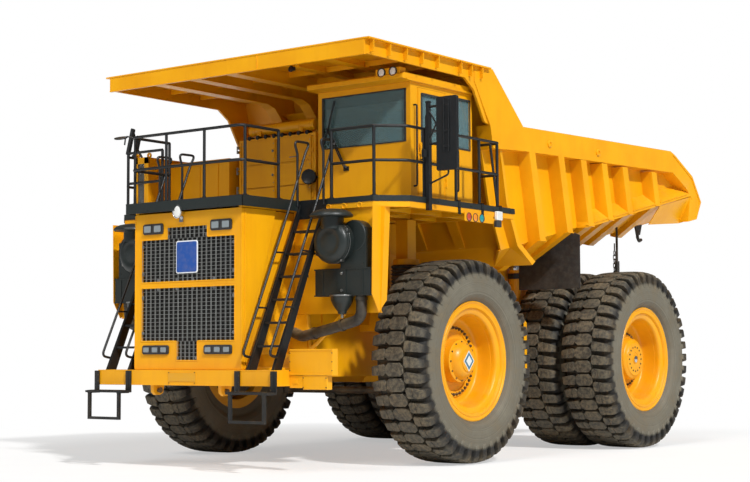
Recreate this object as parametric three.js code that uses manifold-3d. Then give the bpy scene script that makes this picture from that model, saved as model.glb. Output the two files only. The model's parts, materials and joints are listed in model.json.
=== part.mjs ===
// Rigid-frame mining dump truck with an electric drive, built at its real size.
// Millimetres. +Z is up, the front faces -Y and the cab stands on the +X side.
// Every piece is drawn with Y = 0 at the front axle and Z = 0 on the ground;
// the group at the end slides the truck along Y so that its middle is at Y = 0.
import * as THREE from "three";
import { mergeVertices } from "three/addons/utils/BufferGeometryUtils.js";
import { ConvexGeometry } from "three/addons/geometries/ConvexGeometry.js";
import Module from "manifold-3d";

const wasm = await Module();
wasm.setup();

// ---------------------------------------------------------------- driving dimensions

const SEAT = 0.3;               // gap between pieces that rest on each other
const RUN = 6;                  // running gap between pieces that move past each other

const WHEELBASE = 4950;
const TYRE_RADIUS = 1530;
const TYRE_WIDTH = 940;
const RIM_RADIUS = 800;         // outside of the rim flange
const FRONT_HUB = 80;           // hub face of a front rim, inboard of its middle
const REAR_HUB = 300;           // hub face of an inner rear rim, inboard of its middle
const BEAD_RADIUS = 700;        // where the tyre sits on the rim
const FLANGE_HALF = 345;        // half the width over the rim flanges
const FLANGE_THICK = 34;
const FRONT_WHEEL_X = 2380;     // middle of a front tyre
const REAR_WHEEL_X = 2635;      // middle of an outer rear tyre
const DUAL_SPACING = 1040;      // middle to middle of the twin tyres
const WHEEL_SIDES = 24;         // divisible by four, so a flat meets the ground every quarter turn
const ROUND = 16;               // sides of the other round pieces

const KINGPIN_X = 1500;
const KINGPIN_RADIUS = 190;
const KNUCKLE_TOP = 1900;
const KNUCKLE_BOTTOM = 1130;
const STEER_ARM_BACK = 520;     // tie rod pin behind the kingpin
const STEER_ARM_IN = 150;       // and towards the middle of the truck
const TIE_ROD_Z = 1060;
const TIE_ROD_RADIUS = 55;
const BRAKE_RADIUS = 570;

const RAIL_IN = 480;            // frame rails, distances from the middle plane
const RAIL_OUT = 820;
const RAIL_BOTTOM = 1300;
const RAIL_TOP = 2500;
const RAIL_NOSE_TOP = 1425;
const RAIL_REAR_TOP = 2650;
const AXLE_ARCH = 2150;         // underside of the rails over the rear axle

const PIVOT_Y = 6300;           // dump body hinge
const PIVOT_Z = 3050;
const PIVOT_RADIUS = 70;
const HOIST_X = 970;
const HOIST_RADIUS = 105;
const HOIST_BORE = 84;
const ROD_RADIUS = 76;
const HOIST_LOW_Y = 4095;
const HOIST_LOW_Z = 1105;
const HOIST_HIGH_Y = 3970;
const HOIST_HIGH_Z = 3263;
const HOIST_PIN_RADIUS = 80;
const HOIST_EYE_RADIUS = 130;
const EYE_HALF = 65;

const BUMPER_HALF = 1740;
const BUMPER_FRONT = -3395;
const BUMPER_BACK = -3050;
const BUMPER_BOTTOM = 1205;
const BUMPER_TOP = 1426;
const RAIL_FRONT = BUMPER_BACK + SEAT;
const STEP_FRONT = -3600;
const LADDER_IN = 1180;
const LADDER_OUT = 1640;

const HOOD_HALF = 1060;
const HOOD_FRONT = -3300;
const HOOD_BOTTOM = BUMPER_TOP + SEAT;
const HOOD_REAR_TOP = -2560;
const HOOD_REAR_BOTTOM = -3230;

const DECK_TOP = 3870;
const DECK_EDGE = 160;          // depth of the edge beams
const DECK_PLATE = 30;
const DECK_HALF = 2880;
const DECK_NOSE_HALF = 1150;
const DECK_NOSE = -3400;
const DECK_FRONT = -2150;
const DECK_REAR = 960;
const DECK_CHAMFER_X = 2500;
const DECK_CHAMFER_Y = -1790;

const RAIL_TUBE = 22;           // radius of the handrail tube
const RAIL_HIGH = 1000;
const RAIL_MID = 510;

const CAB_LEFT = 2420;
const CAB_RIGHT = 670;
const CAB_FRONT = -1130;
const CAB_REAR = 490;
const CAB_WALL = 60;
const CAB_TOP = 5640;
const SILL_Z = 4770;            // bottom of the cab windows
const HEAD_Z = 5540;            // top of the cab windows
const DOOR_FRONT = -950;
const DOOR_REAR = -230;
const DOOR_BOTTOM = 3965;
const DOOR_TOP = 5575;
const DOOR_GAP = 5;             // running gap all round the door leaf
const DOOR_PIN = [CAB_LEFT + 16, DOOR_REAR + DOOR_GAP / 2];
const DOOR_PIN_RADIUS = 14;
const GLASS = 10;
const ROOF_THICK = 115;
const ROOF_LIP = 35;
const VISOR = 235;

const CABINET_LEFT = 600;
const CABINET_RIGHT = -980;
const CABINET_FRONT = -1110;
const CABINET_REAR = -330;
const CABINET_HIGH = 1180;
const CABINET_WALL = 40;
const CABINET_PIN_OUT = 12;     // hinge pins of its doors, ahead of its front
const CABINET_PIN_RADIUS = 10;

const CANOPY_FRONT = -2430;
const CANOPY_HALF = 2570;
const CANOPY_TOP = 6075;
const CANOPY_DEEP = 235;
const CANOPY_PLATE = 40;
const CANOPY_SPLIT = -150;
const CANOPY_REAR = 820;

const BODY_HALF = 2880;         // outside of the side rail at the tail
const BODY_TAPER = 0.0414;      // the sides draw in by this much per millimetre towards the front
const BODY_TAIL = 7570;
const RIB_DEEP = 230;
const BODY_WALL = 40;
const FLOOR_FRONT = 2000;
const FLOOR_FRONT_Z = 3060;
const FLOOR_SLOPE = 0.2;
const FLOOR_REAR = 7380;
const FLOOR_HALF = 1950;        // where the floor turns up into the side
const KNEE_Z = 3460;            // knee of the sides above the floor's front end
const KNEE_SLOPE = 0.222;
const KNEE_Y = 2180;

// ---------------------------------------------------------------- finishes

const finish = (color, roughness, metalness) =>
  new THREE.MeshStandardMaterial({ color, roughness, metalness });
const ENAMEL = finish(0xf0aa10, 0.42, 0.0);
const BLACK_PAINT = finish(0x1f242a, 0.5, 0.0);
const GREY_PAINT = finish(0x3d4440, 0.6, 0.0);
const RUBBER = finish(0x33342f, 0.9, 0.0);
const CAST_STEEL = finish(0x4a4844, 0.55, 0.6);
const CHROME_ROD = finish(0xc9ccd0, 0.15, 1.0);
const TINTED_GLASS = finish(0x31434a, 0.08, 0.0);
const VINYL = finish(0x2a2a2c, 0.7, 0.0);

// ---------------------------------------------------------------- making solids

function toSolid(geometry) {
  const bare = geometry.clone();
  bare.deleteAttribute("normal");
  bare.deleteAttribute("uv");
  const merged = mergeVertices(bare, 1e-3);
  const place = merged.getAttribute("position");
  const index = merged.index.array;
  const kept = [];
  for (let i = 0; i < index.length; i += 3) {
    const [a, b, c] = [index[i], index[i + 1], index[i + 2]];
    if (a !== b && b !== c && c !== a) kept.push([a, b, c]);
  }
  let volume = 0;
  const corner = (i) => new THREE.Vector3().fromBufferAttribute(place, i);
  for (const [a, b, c] of kept) volume += corner(a).dot(corner(b).cross(corner(c)));
  const facing = volume < 0 ? kept.map(([a, b, c]) => [a, c, b]) : kept;
  const vertProperties = new Float32Array(place.array);
  const triVerts = new Uint32Array(facing.flat());
  return new wasm.Manifold(new wasm.Mesh({ numProp: 3, vertProperties, triVerts }));
}

// Faces that lie in one plane within this many millimetres come out as one.
const FLAT = 0.01;

function toGeometry(solid) {
  const mesh = solid.asOriginal().simplify(FLAT).getMesh();
  const geometry = new THREE.BufferGeometry();
  geometry.setAttribute("position", new THREE.BufferAttribute(new Float32Array(mesh.vertProperties), 3));
  geometry.setIndex(new THREE.BufferAttribute(new Uint32Array(mesh.triVerts), 1));
  geometry.computeVertexNormals();
  return geometry;
}

const join = (...solids) => solids.flat().reduce((whole, piece) => whole.add(piece));
const cut = (whole, ...holes) => holes.flat().reduce((rest, hole) => rest.subtract(hole), whole);
const moved = (solid, matrix) => toSolid(toGeometry(solid).applyMatrix4(matrix));
const mirrored = (solid) => moved(solid, new THREE.Matrix4().makeScale(-1, 1, 1));
const bothSides = (solid) => [solid, mirrored(solid)];

function box(x0, x1, y0, y1, z0, z1) {
  const geometry = new THREE.BoxGeometry(x1 - x0, y1 - y0, z1 - z0);
  return toSolid(geometry.translate((x0 + x1) / 2, (y0 + y1) / 2, (z0 + z1) / 2));
}

function shapeOf(points) {
  return new THREE.Shape(points.map(([a, b]) => new THREE.Vector2(a, b)));
}

function extruded(points, depth, matrix) {
  const geometry = new THREE.ExtrudeGeometry(shapeOf(points), { depth, bevelEnabled: false });
  return toSolid(geometry.applyMatrix4(matrix));
}

// A plate across X with its outline given as (y, z) points, and the same across Y and Z.
function plateX(points, x0, x1) {
  const turn = new THREE.Matrix4().set(0, 0, 1, x0, 1, 0, 0, 0, 0, 1, 0, 0, 0, 0, 0, 1);
  return extruded(points, x1 - x0, turn);
}

function plateY(points, y0, y1) {
  const turn = new THREE.Matrix4().set(1, 0, 0, 0, 0, 0, -1, y1, 0, 1, 0, 0, 0, 0, 0, 1);
  return extruded(points, y1 - y0, turn);
}

function plateZ(points, z0, z1) {
  return extruded(points, z1 - z0, new THREE.Matrix4().makeTranslation(0, 0, z0));
}

function hull(points) {
  return toSolid(new ConvexGeometry(points.map(([x, y, z]) => new THREE.Vector3(x, y, z))));
}

// A round bar from one point to another; a second radius makes it a cone.
function bar(from, to, radius, sides = ROUND, farRadius = radius) {
  const start = new THREE.Vector3(...from);
  const end = new THREE.Vector3(...to);
  const along = end.clone().sub(start);
  const geometry = new THREE.CylinderGeometry(farRadius, radius, along.length(), sides);
  const turn = new THREE.Quaternion().setFromUnitVectors(new THREE.Vector3(0, 1, 0), along.clone().normalize());
  geometry.applyQuaternion(turn);
  const middle = start.add(end).multiplyScalar(0.5);
  return toSolid(geometry.translate(middle.x, middle.y, middle.z));
}

// Round tube along a bent line; the lengths run half a tube past each bend.
function pipe(points, radius = RAIL_TUBE, sides = 4) {
  const pieces = [];
  for (let i = 1; i < points.length; i += 1) {
    const start = new THREE.Vector3(...points[i - 1]);
    const end = new THREE.Vector3(...points[i]);
    const past = end.clone().sub(start).setLength(radius / 2);
    if (i > 1) start.sub(past);
    if (i < points.length - 1) end.add(past);
    pieces.push(bar(start.toArray(), end.toArray(), radius, sides));
  }
  return join(pieces);
}

// A turned solid on an axle along X. The profile holds (radius, x) points; its flats touch
// the stated radius, and one flat faces straight down.
function turnedX(profile, x, y, z, sides = WHEEL_SIDES) {
  const grow = 1 / Math.cos(Math.PI / sides);
  const points = profile.map(([radius, along]) => new THREE.Vector2(radius * grow, along));
  const geometry = new THREE.LatheGeometry(points, sides, Math.PI / sides);
  geometry.rotateZ(-Math.PI / 2);
  return toSolid(geometry.translate(x, y, z));
}

// ---------------------------------------------------------------- wheels

function tyre(x, y) {
  const half = TYRE_WIDTH / 2;
  const side = [
    [BEAD_RADIUS, FLANGE_HALF - 45],
    [RIM_RADIUS + 5, FLANGE_HALF - FLANGE_THICK - 5],
    [RIM_RADIUS + 60, half - 70],
    [RIM_RADIUS + 300, half],
    [TYRE_RADIUS - 110, half - 20],
    [TYRE_RADIUS, half - 85],
  ];
  const inner = side.map(([radius, along]) => [radius, -along]);
  return turnedX([...side, ...inner.reverse(), side[0]], x, y, TYRE_RADIUS);
}

// One flanged rim seat from the inner to the outer flange, outboard along +X.
function rimSeat(middle) {
  const seat = BEAD_RADIUS - SEAT;
  const edge = FLANGE_HALF - FLANGE_THICK;
  return [
    [RIM_RADIUS, middle - FLANGE_HALF], [RIM_RADIUS, middle - edge], [seat, middle - edge],
    [seat, middle + edge], [RIM_RADIUS, middle + edge], [RIM_RADIUS, middle + FLANGE_HALF],
  ];
}

function frontRim() {
  const profile = [
    [0, -FRONT_HUB], [300, -FRONT_HUB], [300, 40], [640, 40], [640, -FLANGE_HALF],
    ...rimSeat(0),
    [765, FLANGE_HALF], [730, 215], [625, 205], [610, 120],
    [0, 120],
  ];
  const dome = [[0, 100], [250, 100], [235, 285], [170, 325], [0, 325]];
  return join(
    turnedX(profile, FRONT_WHEEL_X, 0, TYRE_RADIUS),
    turnedX(dome, FRONT_WHEEL_X, 0, TYRE_RADIUS, ROUND),
  );
}

function rearRim() {
  const inner = -DUAL_SPACING;
  const profile = [
    [0, inner - REAR_HUB], [640, inner - REAR_HUB], [640, inner - FLANGE_HALF],
    ...rimSeat(inner),
    [BEAD_RADIUS - SEAT, inner + FLANGE_HALF], [BEAD_RADIUS - SEAT, -FLANGE_HALF],
    ...rimSeat(0),
    [765, FLANGE_HALF], [730, 195], [625, 185], [610, 130],
    [330, 130], [315, 320], [250, 365], [0, 365],
  ];
  return turnedX(profile, REAR_WHEEL_X, WHEELBASE, TYRE_RADIUS);
}

// ---------------------------------------------------------------- steering

function knuckle() {
  const spindleEnd = FRONT_WHEEL_X - FRONT_HUB - SEAT;
  const tieX = KINGPIN_X - STEER_ARM_IN;
  const armTop = KNUCKLE_BOTTOM + 110;
  const tieSeat = TIE_ROD_Z + TIE_ROD_RADIUS + 15 + SEAT;
  return join(
    bar([KINGPIN_X, 0, KNUCKLE_BOTTOM], [KINGPIN_X, 0, KNUCKLE_TOP], KINGPIN_RADIUS),
    bar([KINGPIN_X, 0, TYRE_RADIUS], [spindleEnd, 0, TYRE_RADIUS], 150),
    bar([FRONT_WHEEL_X - FLANGE_HALF + 20, 0, TYRE_RADIUS], [spindleEnd, 0, TYRE_RADIUS], BRAKE_RADIUS),
    hull([
      [KINGPIN_X - 120, 0, tieSeat], [KINGPIN_X + 120, 0, tieSeat],
      [tieX - 70, STEER_ARM_BACK + 60, tieSeat], [tieX + 70, STEER_ARM_BACK + 60, tieSeat],
      [KINGPIN_X - 120, 0, armTop], [KINGPIN_X + 120, 0, armTop],
      [tieX - 70, STEER_ARM_BACK + 60, armTop], [tieX + 70, STEER_ARM_BACK + 60, armTop],
    ]),
  );
}

function tieRod() {
  const end = KINGPIN_X - STEER_ARM_IN;
  const eye = TIE_ROD_RADIUS + 15;
  const rod = bar([-end, STEER_ARM_BACK, TIE_ROD_Z], [end, STEER_ARM_BACK, TIE_ROD_Z], TIE_ROD_RADIUS);
  const head = bar([end, STEER_ARM_BACK, TIE_ROD_Z - eye], [end, STEER_ARM_BACK, TIE_ROD_Z + eye], 80);
  return join(rod, bothSides(head));
}

// ---------------------------------------------------------------- frame and driveline

function frameRail() {
  const side = [
    [RAIL_FRONT, BUMPER_BOTTOM + 15], [-2300, RAIL_BOTTOM], [3400, RAIL_BOTTOM],
    [3900, HOIST_LOW_Z - 110], [4280, HOIST_LOW_Z - 110], [4330, RAIL_BOTTOM], [4330, AXLE_ARCH],
    [5950, AXLE_ARCH], [6450, 2450], [PIVOT_Y + 190, 2900], [PIVOT_Y + 140, PIVOT_Z + 130],
    [PIVOT_Y, PIVOT_Z + 180], [PIVOT_Y - 140, PIVOT_Z + 130], [PIVOT_Y - 190, 2900], [6000, RAIL_REAR_TOP],
    [4300, RAIL_REAR_TOP - 50], [3500, RAIL_TOP], [-700, RAIL_TOP], [-1500, 2100], [-2300, 2050],
    [-2520, RAIL_NOSE_TOP], [RAIL_FRONT, RAIL_NOSE_TOP],
  ];
  return plateX(side, RAIL_IN, RAIL_OUT);
}

function strutTower() {
  const bracket = plateX([[-300, 1990], [300, 1990], [300, 2330], [200, RAIL_TOP - 20],
    [-200, RAIL_TOP - 20], [-300, 2330]], RAIL_OUT - 20, KINGPIN_X);
  const tube = bar([KINGPIN_X, 0, KNUCKLE_TOP + SEAT], [KINGPIN_X, 0, 3100], 210);
  const post = box(KINGPIN_X - 110, KINGPIN_X + 110, -110, 110, 3050, DECK_TOP - DECK_EDGE - SEAT);
  return join(bracket, tube, post);
}

function hoistPin(y, z) {
  return bar([RAIL_OUT - 40, y, z], [HOIST_X - EYE_HALF, y, z], HOIST_PIN_RADIUS);
}

function frame() {
  const half = join(
    frameRail(),
    strutTower(),
    hoistPin(HOIST_LOW_Y, HOIST_LOW_Z),
    box(620, RAIL_OUT, 700, DECK_REAR - 60, RAIL_TOP - 20, DECK_TOP - DECK_EDGE - SEAT),
  );
  const across = RAIL_IN + 20;
  return join(
    bothSides(half),
    box(-across, across, RAIL_FRONT, -2880, BUMPER_BOTTOM + 25, RAIL_NOSE_TOP - 10),
    box(-across, across, -160, 260, RAIL_BOTTOM + 40, 1480),
    box(-across, across, 1250, 1550, RAIL_BOTTOM + 80, RAIL_TOP - 160),
    box(-across, across, 3300, 3560, RAIL_BOTTOM + 40, RAIL_TOP - 220),
    bar([-across, 6330, 2520], [across, 6330, 2520], 140),
    bar([-across, PIVOT_Y, PIVOT_Z], [across, PIVOT_Y, PIVOT_Z], PIVOT_RADIUS),
  );
}

function engineBlock() {
  return join(
    box(-430, 430, -2380, -200, 1500, 2950),
    box(-RAIL_IN + SEAT, RAIL_IN - SEAT, -170, 250, 1480 + SEAT, 2350),
    box(-400, 400, -260, -150, 1600, 2300),
  );
}

function rearAxle() {
  const z = TYRE_RADIUS;
  const y = WHEELBASE;
  const end = REAR_WHEEL_X - DUAL_SPACING - REAR_HUB - SEAT;
  const spring = 620;
  return join(
    bar([-end + 150, y, z], [end - 150, y, z], 500),
    bar([-end, y, z], [end, y, z], 560),
    hull([
      [-360, y, z - 330], [360, y, z - 330], [-360, y, z + 330], [360, y, z + 330],
      [-200, 3560 + SEAT, z - 60], [200, 3560 + SEAT, z - 60],
      [-200, 3560 + SEAT, z + 240], [200, 3560 + SEAT, z + 240],
    ]),
    box(-spring - 150, spring + 150, y + 350, 5870, 1400, 1700),
  );
}

function rearStrut() {
  const low = bar([620, 5710, 1700 + SEAT], [620, 5710, 1960], 105);
  const high = bar([620, 5710, 1900], [620, 5710, AXLE_ARCH - SEAT], 135);
  return join(low, high);
}

function tank(x0, x1, y0, y1, z0, z1, bevel) {
  const outline = [[x0, z0 + bevel], [x0 + bevel, z0], [x1 - bevel, z0], [x1, z0 + bevel],
    [x1, z1 - bevel], [x1 - bevel, z1], [x0 + bevel, z1], [x0, z1 - bevel]];
  return plateY(outline, y0, y1);
}

function fuelTank() {
  return join(
    tank(900, 1950, 2120, 3230, 1150, 2330, 130),
    box(RAIL_OUT + SEAT, 960, 2250, 2400, 1450, 2200),
    box(RAIL_OUT + SEAT, 960, 2950, 3100, 1450, 2200),
  );
}

function hydraulicTank() {
  return join(
    tank(900, 1700, 2300, 3200, 1250, 2250, 90),
    box(RAIL_OUT + SEAT, 960, 2400, 2520, 1450, 2200),
    box(RAIL_OUT + SEAT, 960, 2980, 3100, 1450, 2200),
    bar([1300, 2500, 2240], [1300, 2500, 2330], 80),
  );
}

// ---------------------------------------------------------------- front end

function hood() {
  const wedge = plateX([[HOOD_FRONT, HOOD_BOTTOM], [HOOD_REAR_BOTTOM, HOOD_BOTTOM],
    [HOOD_REAR_TOP, DECK_TOP - DECK_EDGE - SEAT], [HOOD_FRONT, DECK_TOP - DECK_EDGE - SEAT]],
  -HOOD_HALF, HOOD_HALF);
  const core = box(-880, 880, HOOD_REAR_BOTTOM - 20, HOOD_REAR_TOP + 10, HOOD_BOTTOM, 3600);
  const recess = 35;
  const back = HOOD_FRONT + recess;
  const upper = plateY([[-930, 2700], [930, 2700], [930, 3330], [400, 3330], [400, 3500],
    [-400, 3500], [-400, 3330], [-930, 3330]], HOOD_FRONT - 5, back);
  const lower = plateY([[-930, 2620], [-930, 1840], [-210, 1840], [-210, 1560], [210, 1560],
    [210, 1840], [930, 1840], [930, 2620]], HOOD_FRONT - 5, back);
  return cut(join(wedge, core), upper, lower);
}

function bumper() {
  const beam = box(-BUMPER_HALF, BUMPER_HALF, BUMPER_FRONT, BUMPER_BACK, BUMPER_BOTTOM, BUMPER_TOP);
  const eye = cut(
    plateX([[-3330, BUMPER_BOTTOM + 10], [-3100, BUMPER_BOTTOM + 10], [-3130, 1090],
      [-3190, 1060], [-3270, 1060], [-3320, 1100]], 640, 700),
    bar([600, -3225, 1130], [740, -3225, 1130], 32),
  );
  return join(beam, bothSides(eye));
}

function boardingStep() {
  const mid = (LADDER_IN + LADDER_OUT) / 2;
  const half = 340;
  const top = BUMPER_TOP - 12;
  const face = BUMPER_FRONT - SEAT;
  const strap = (x) => box(x - 45, x + 45, face - 22, face, 1100, top);
  const hanger = (x) => join(
    box(x - 22, x + 22, STEP_FRONT, STEP_FRONT + 44, 700, 1120),
    box(x - 30, x + 30, STEP_FRONT, face - 4, 1085, 1130),
  );
  return join(
    strap(mid - half), strap(mid + half), hanger(mid - half + 30), hanger(mid + half - 30),
    box(mid - half - 45, mid + half + 45, STEP_FRONT, face - 6, 1095, 1125),
    box(mid - half + 30, mid + half - 30, STEP_FRONT, STEP_FRONT + 44, 700, 740),
  );
}

function batteryBox() {
  return join(
    box(BUMPER_HALF + SEAT, 2510, -3075, -2960, 1355, 1715),
    box(BUMPER_HALF + 238, 2408, -3070, -2960, 1160, 1365),
    box(RAIL_OUT + 80, BUMPER_HALF + 80, -2980, -2800, 1460, 1640),
    box(RAIL_OUT + 80, RAIL_OUT + 180, -2980, -2800, 1250, 1640),
    box(RAIL_OUT + SEAT, RAIL_OUT + 180, -2980, -2800, 1250, RAIL_NOSE_TOP - 10),
  );
}

function ladder() {
  const foot = [BUMPER_FRONT + 80, BUMPER_TOP + SEAT];
  const head = [DECK_FRONT - 60, DECK_TOP - DECK_EDGE + 20];
  const lean = (head[0] - foot[0]) / (head[1] - foot[1]);
  const yAt = (z) => foot[0] + (z - foot[1]) * lean;
  const deep = 190;
  const stringer = (x) => plateX([[foot[0], foot[1]], [foot[0] + deep, foot[1]],
    [DECK_FRONT - SEAT, head[1] - 40], [DECK_FRONT - SEAT, head[1] + 90], [head[0] - 20, head[1] + 90]],
  x - 20, x + 20);
  const treads = [];
  for (let z = foot[1] + 330; z < head[1]; z += 330) {
    treads.push(box(LADDER_IN + 20, LADDER_OUT - 20, yAt(z) + 20, yAt(z) + 170, z - 16, z + 16));
  }
  const rail = (x) => pipe([
    [x, foot[0] + 40, foot[1] + 130], [x, yAt(1600) - 170, 1600], [x, yAt(3800) - 230, 3800],
    [x, yAt(4500) - 250, 4500], [x, yAt(4700) - 130, 4700], [x, DECK_FRONT - 60, 4620],
    [x, DECK_FRONT - 60, head[1] + 60],
  ]);
  const stay = (x, z) => pipe([[x, yAt(z) - 200, z], [x, yAt(z) + 60, z]]);
  const pairs = [LADDER_IN, LADDER_OUT].map((x) => join(stringer(x), rail(x), stay(x, 2300), stay(x, 3100)));
  return join(pairs, treads);
}

// ---------------------------------------------------------------- deck

const deckHalf = [
  [0, DECK_NOSE], [DECK_NOSE_HALF, DECK_NOSE], [DECK_NOSE_HALF, DECK_FRONT], [DECK_CHAMFER_X, DECK_FRONT],
  [DECK_HALF, DECK_CHAMFER_Y], [DECK_HALF, DECK_REAR], [0, DECK_REAR],
];

function deck() {
  const beam = 110;
  const under = DECK_TOP - DECK_EDGE;
  const outline = [...deckHalf, ...deckHalf.slice(1, -1).reverse().map(([x, y]) => [-x, y])];
  const slab = plateZ(outline, under, DECK_TOP);
  const pocket = (x0, x1, y0, y1) => box(x0, x1, y0, y1, under - 10, DECK_TOP - DECK_PLATE);
  const side = pocket(1750, DECK_HALF - beam, DECK_CHAMFER_Y, DECK_REAR - beam);
  const inner = pocket(950, 1350, DECK_FRONT + beam, 550);
  const middle = pocket(-800, 800, DECK_FRONT, 550);
  const nose = pocket(-700, 700, -2500, DECK_FRONT - beam);
  const plates = cut(slab, bothSides(side), bothSides(inner), middle, nose);
  return join(plates, bothSides(apron()));
}

// Panel that hangs below the deck's front edge, with the leg that stands on the frame.
function apron() {
  const top = DECK_TOP - DECK_EDGE + 5;
  const sheet = plateY([[1010, 2220], [2600, 2220], [2680, top], [1010, top]], -2110, -2070);
  const cheek = plateX([[-2150, 2225], [-1960, 2400], [-1900, top], [-2300, top], [-2300, 2480]], 2570, 2610);
  const leg = box(1000, 1260, -2110, -1990, RAIL_BOTTOM + 160, 2600);
  const foot = box(RAIL_OUT + SEAT, 1010, -2110, -1990, RAIL_BOTTOM + 160, 1980);
  return join(sheet, cheek, leg, foot);
}

function airCleaner() {
  const wall = -2110 - SEAT;
  const can = bar([1975, wall, 3220], [1975, -2470, 3220], 300);
  const cap = bar([1975, -2460, 3220], [1975, -2520, 3220], 300, ROUND, 235);
  const housing = box(1950, 2480, -2290, wall, 2840, 3530);
  const base = box(1560, 2560, -2290, wall, 2470, 2850);
  const cup = bar([2050, -2290, 2480], [2050, -2290, 2200], 165, ROUND, 70);
  const stack = bar([1990, -2400, 3400], [1990, -2400, 3590], 150);
  const hat = bar([1990, -2450, 3580], [1990, -2450, 3690], 310, ROUND, 230);
  return join(can, cap, housing, base, cup, stack, hat);
}

// A handrail along a line of (x, y) corners; posts stand at the corners and at extra points.
function handrail(line, extra) {
  const foot = DECK_TOP + SEAT;
  const at = (z) => line.map(([x, y]) => [x, y, z]);
  const posts = [...line, ...extra].map(([x, y]) => join(
    pipe([[x, y, foot], [x, y, foot + RAIL_HIGH]]),
    box(x - 45, x + 45, y - 28, y + 28, foot, foot + 14),
  ));
  return join(pipe(at(foot + RAIL_HIGH)), pipe(at(foot + RAIL_MID)), posts);
}

const edgeIn = 50;
const sideRailX = DECK_HALF - edgeIn;
const RAIL_BACK = 640;

function frontHandrail() {
  const x = DECK_NOSE_HALF - edgeIn;
  const y = DECK_NOSE + edgeIn;
  return handrail([[-x, -2560], [-x, y], [x, y], [x, -2560]], [[-380, y], [380, y]]);
}

function sideHandrail() {
  const front = DECK_FRONT + edgeIn;
  const chamfer = DECK_CHAMFER_Y + 20;
  return handrail(
    [[LADDER_OUT + 70, front], [DECK_CHAMFER_X - 20, front], [sideRailX, chamfer],
      [sideRailX, RAIL_BACK], [sideRailX - 350, RAIL_BACK]],
    [[sideRailX, -1370], [sideRailX, -560], [sideRailX, 60]],
  );
}

function mirror(y, low, high) {
  const post = sideRailX + RAIL_TUBE + 25 + SEAT;
  return join(
    box(post - 25, post + 35, y - 30, y + 30, 4250, 5050),
    box(post, 3010, y - 16, y + 16, low + 60, low + 100),
    box(post, 3010, y - 16, y + 16, 4990, 5030),
    box(2960, 3320, y - 40, y + 30, low, high),
  );
}

// Half of an upright hinge: a barrel on the pin's line, and a strap back to what it is on.
function hingeHalf([x, y], radius, z0, z1, [x0, x1, y0, y1]) {
  return join(bar([x, y, z0], [x, y, z1], radius, 8), box(x0, x1, y0, y1, z0, z1));
}

// ---------------------------------------------------------------- cab

const CAB_FLOOR = DECK_TOP + SEAT;
const DOOR_HINGES = [DOOR_BOTTOM + 180, SILL_Z - 160, DOOR_TOP - 220];
const HINGE_HALF_HIGH = 60;
const STRAP = 45;

function cabShell() {
  const inside = box(CAB_RIGHT + CAB_WALL, CAB_LEFT - CAB_WALL, CAB_FRONT + CAB_WALL, CAB_REAR - CAB_WALL,
    CAB_FLOOR + CAB_WALL, CAB_TOP + 10);
  const gap = DOOR_GAP;
  const [pinX, pinY] = DOOR_PIN;
  const strap = [CAB_LEFT - 5, pinX - 8, pinY, pinY + STRAP];
  const hinges = DOOR_HINGES.map((z) => hingeHalf(DOOR_PIN, DOOR_PIN_RADIUS,
    z + HINGE_HALF_HIGH + SEAT, z + 2 * HINGE_HALF_HIGH, strap));
  const openings = [
    box(CAB_RIGHT + 90, CAB_LEFT - 90, CAB_FRONT - 10, CAB_FRONT + CAB_WALL + 10, SILL_Z, HEAD_Z),
    box(CAB_RIGHT + 150, CAB_LEFT - 150, CAB_REAR - CAB_WALL - 10, CAB_REAR + 10, SILL_Z, HEAD_Z),
    box(CAB_RIGHT - 10, CAB_RIGHT + CAB_WALL + 10, CAB_FRONT + 150, CAB_REAR - 150, SILL_Z, HEAD_Z),
    box(CAB_LEFT - CAB_WALL - 10, CAB_LEFT + 10, DOOR_REAR + 110, CAB_REAR - 60, SILL_Z, HEAD_Z),
    box(CAB_LEFT - CAB_WALL - 10, CAB_LEFT + 10, DOOR_FRONT - gap, DOOR_REAR + gap,
      DOOR_BOTTOM - gap, DOOR_TOP + gap),
  ];
  return join(cut(box(CAB_RIGHT, CAB_LEFT, CAB_FRONT, CAB_REAR, CAB_FLOOR, CAB_TOP), inside, openings), hinges);
}

function cabRoof() {
  const z = CAB_TOP + SEAT;
  const skin = plateX([[CAB_FRONT - VISOR, z + 20], [CAB_FRONT - VISOR, z + 90], [CAB_FRONT - VISOR + 60, z + ROOF_THICK],
    [CAB_REAR + ROOF_LIP, z + ROOF_THICK], [CAB_REAR + ROOF_LIP, z], [CAB_FRONT - 20, z]],
  CAB_RIGHT - ROOF_LIP, CAB_LEFT + ROOF_LIP);
  const lamps = box(CAB_LEFT - 480, CAB_LEFT - 30, CAB_FRONT - VISOR + 20, CAB_FRONT - 70, z + 80, z + 195);
  return join(skin, lamps);
}

function pane(x0, x1, y0, y1) {
  return box(x0, x1, y0, y1, SILL_Z + SEAT, HEAD_Z - SEAT);
}

function windscreen() {
  const y = CAB_FRONT + 20;
  return pane(CAB_RIGHT + 90 + SEAT, CAB_LEFT - 90 - SEAT, y, y + GLASS);
}

function rearGlass() {
  const y = CAB_REAR - 30;
  return pane(CAB_RIGHT + 150 + SEAT, CAB_LEFT - 150 - SEAT, y, y + GLASS);
}

function sideGlass() {
  const x = CAB_RIGHT + 20;
  return pane(x, x + GLASS, CAB_FRONT + 150 + SEAT, CAB_REAR - 150 - SEAT);
}

function quarterGlass() {
  const x = CAB_LEFT - 30;
  return pane(x, x + GLASS, DOOR_REAR + 110 + SEAT, CAB_REAR - 60 - SEAT);
}

const DOOR_STILE = 80;

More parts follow.
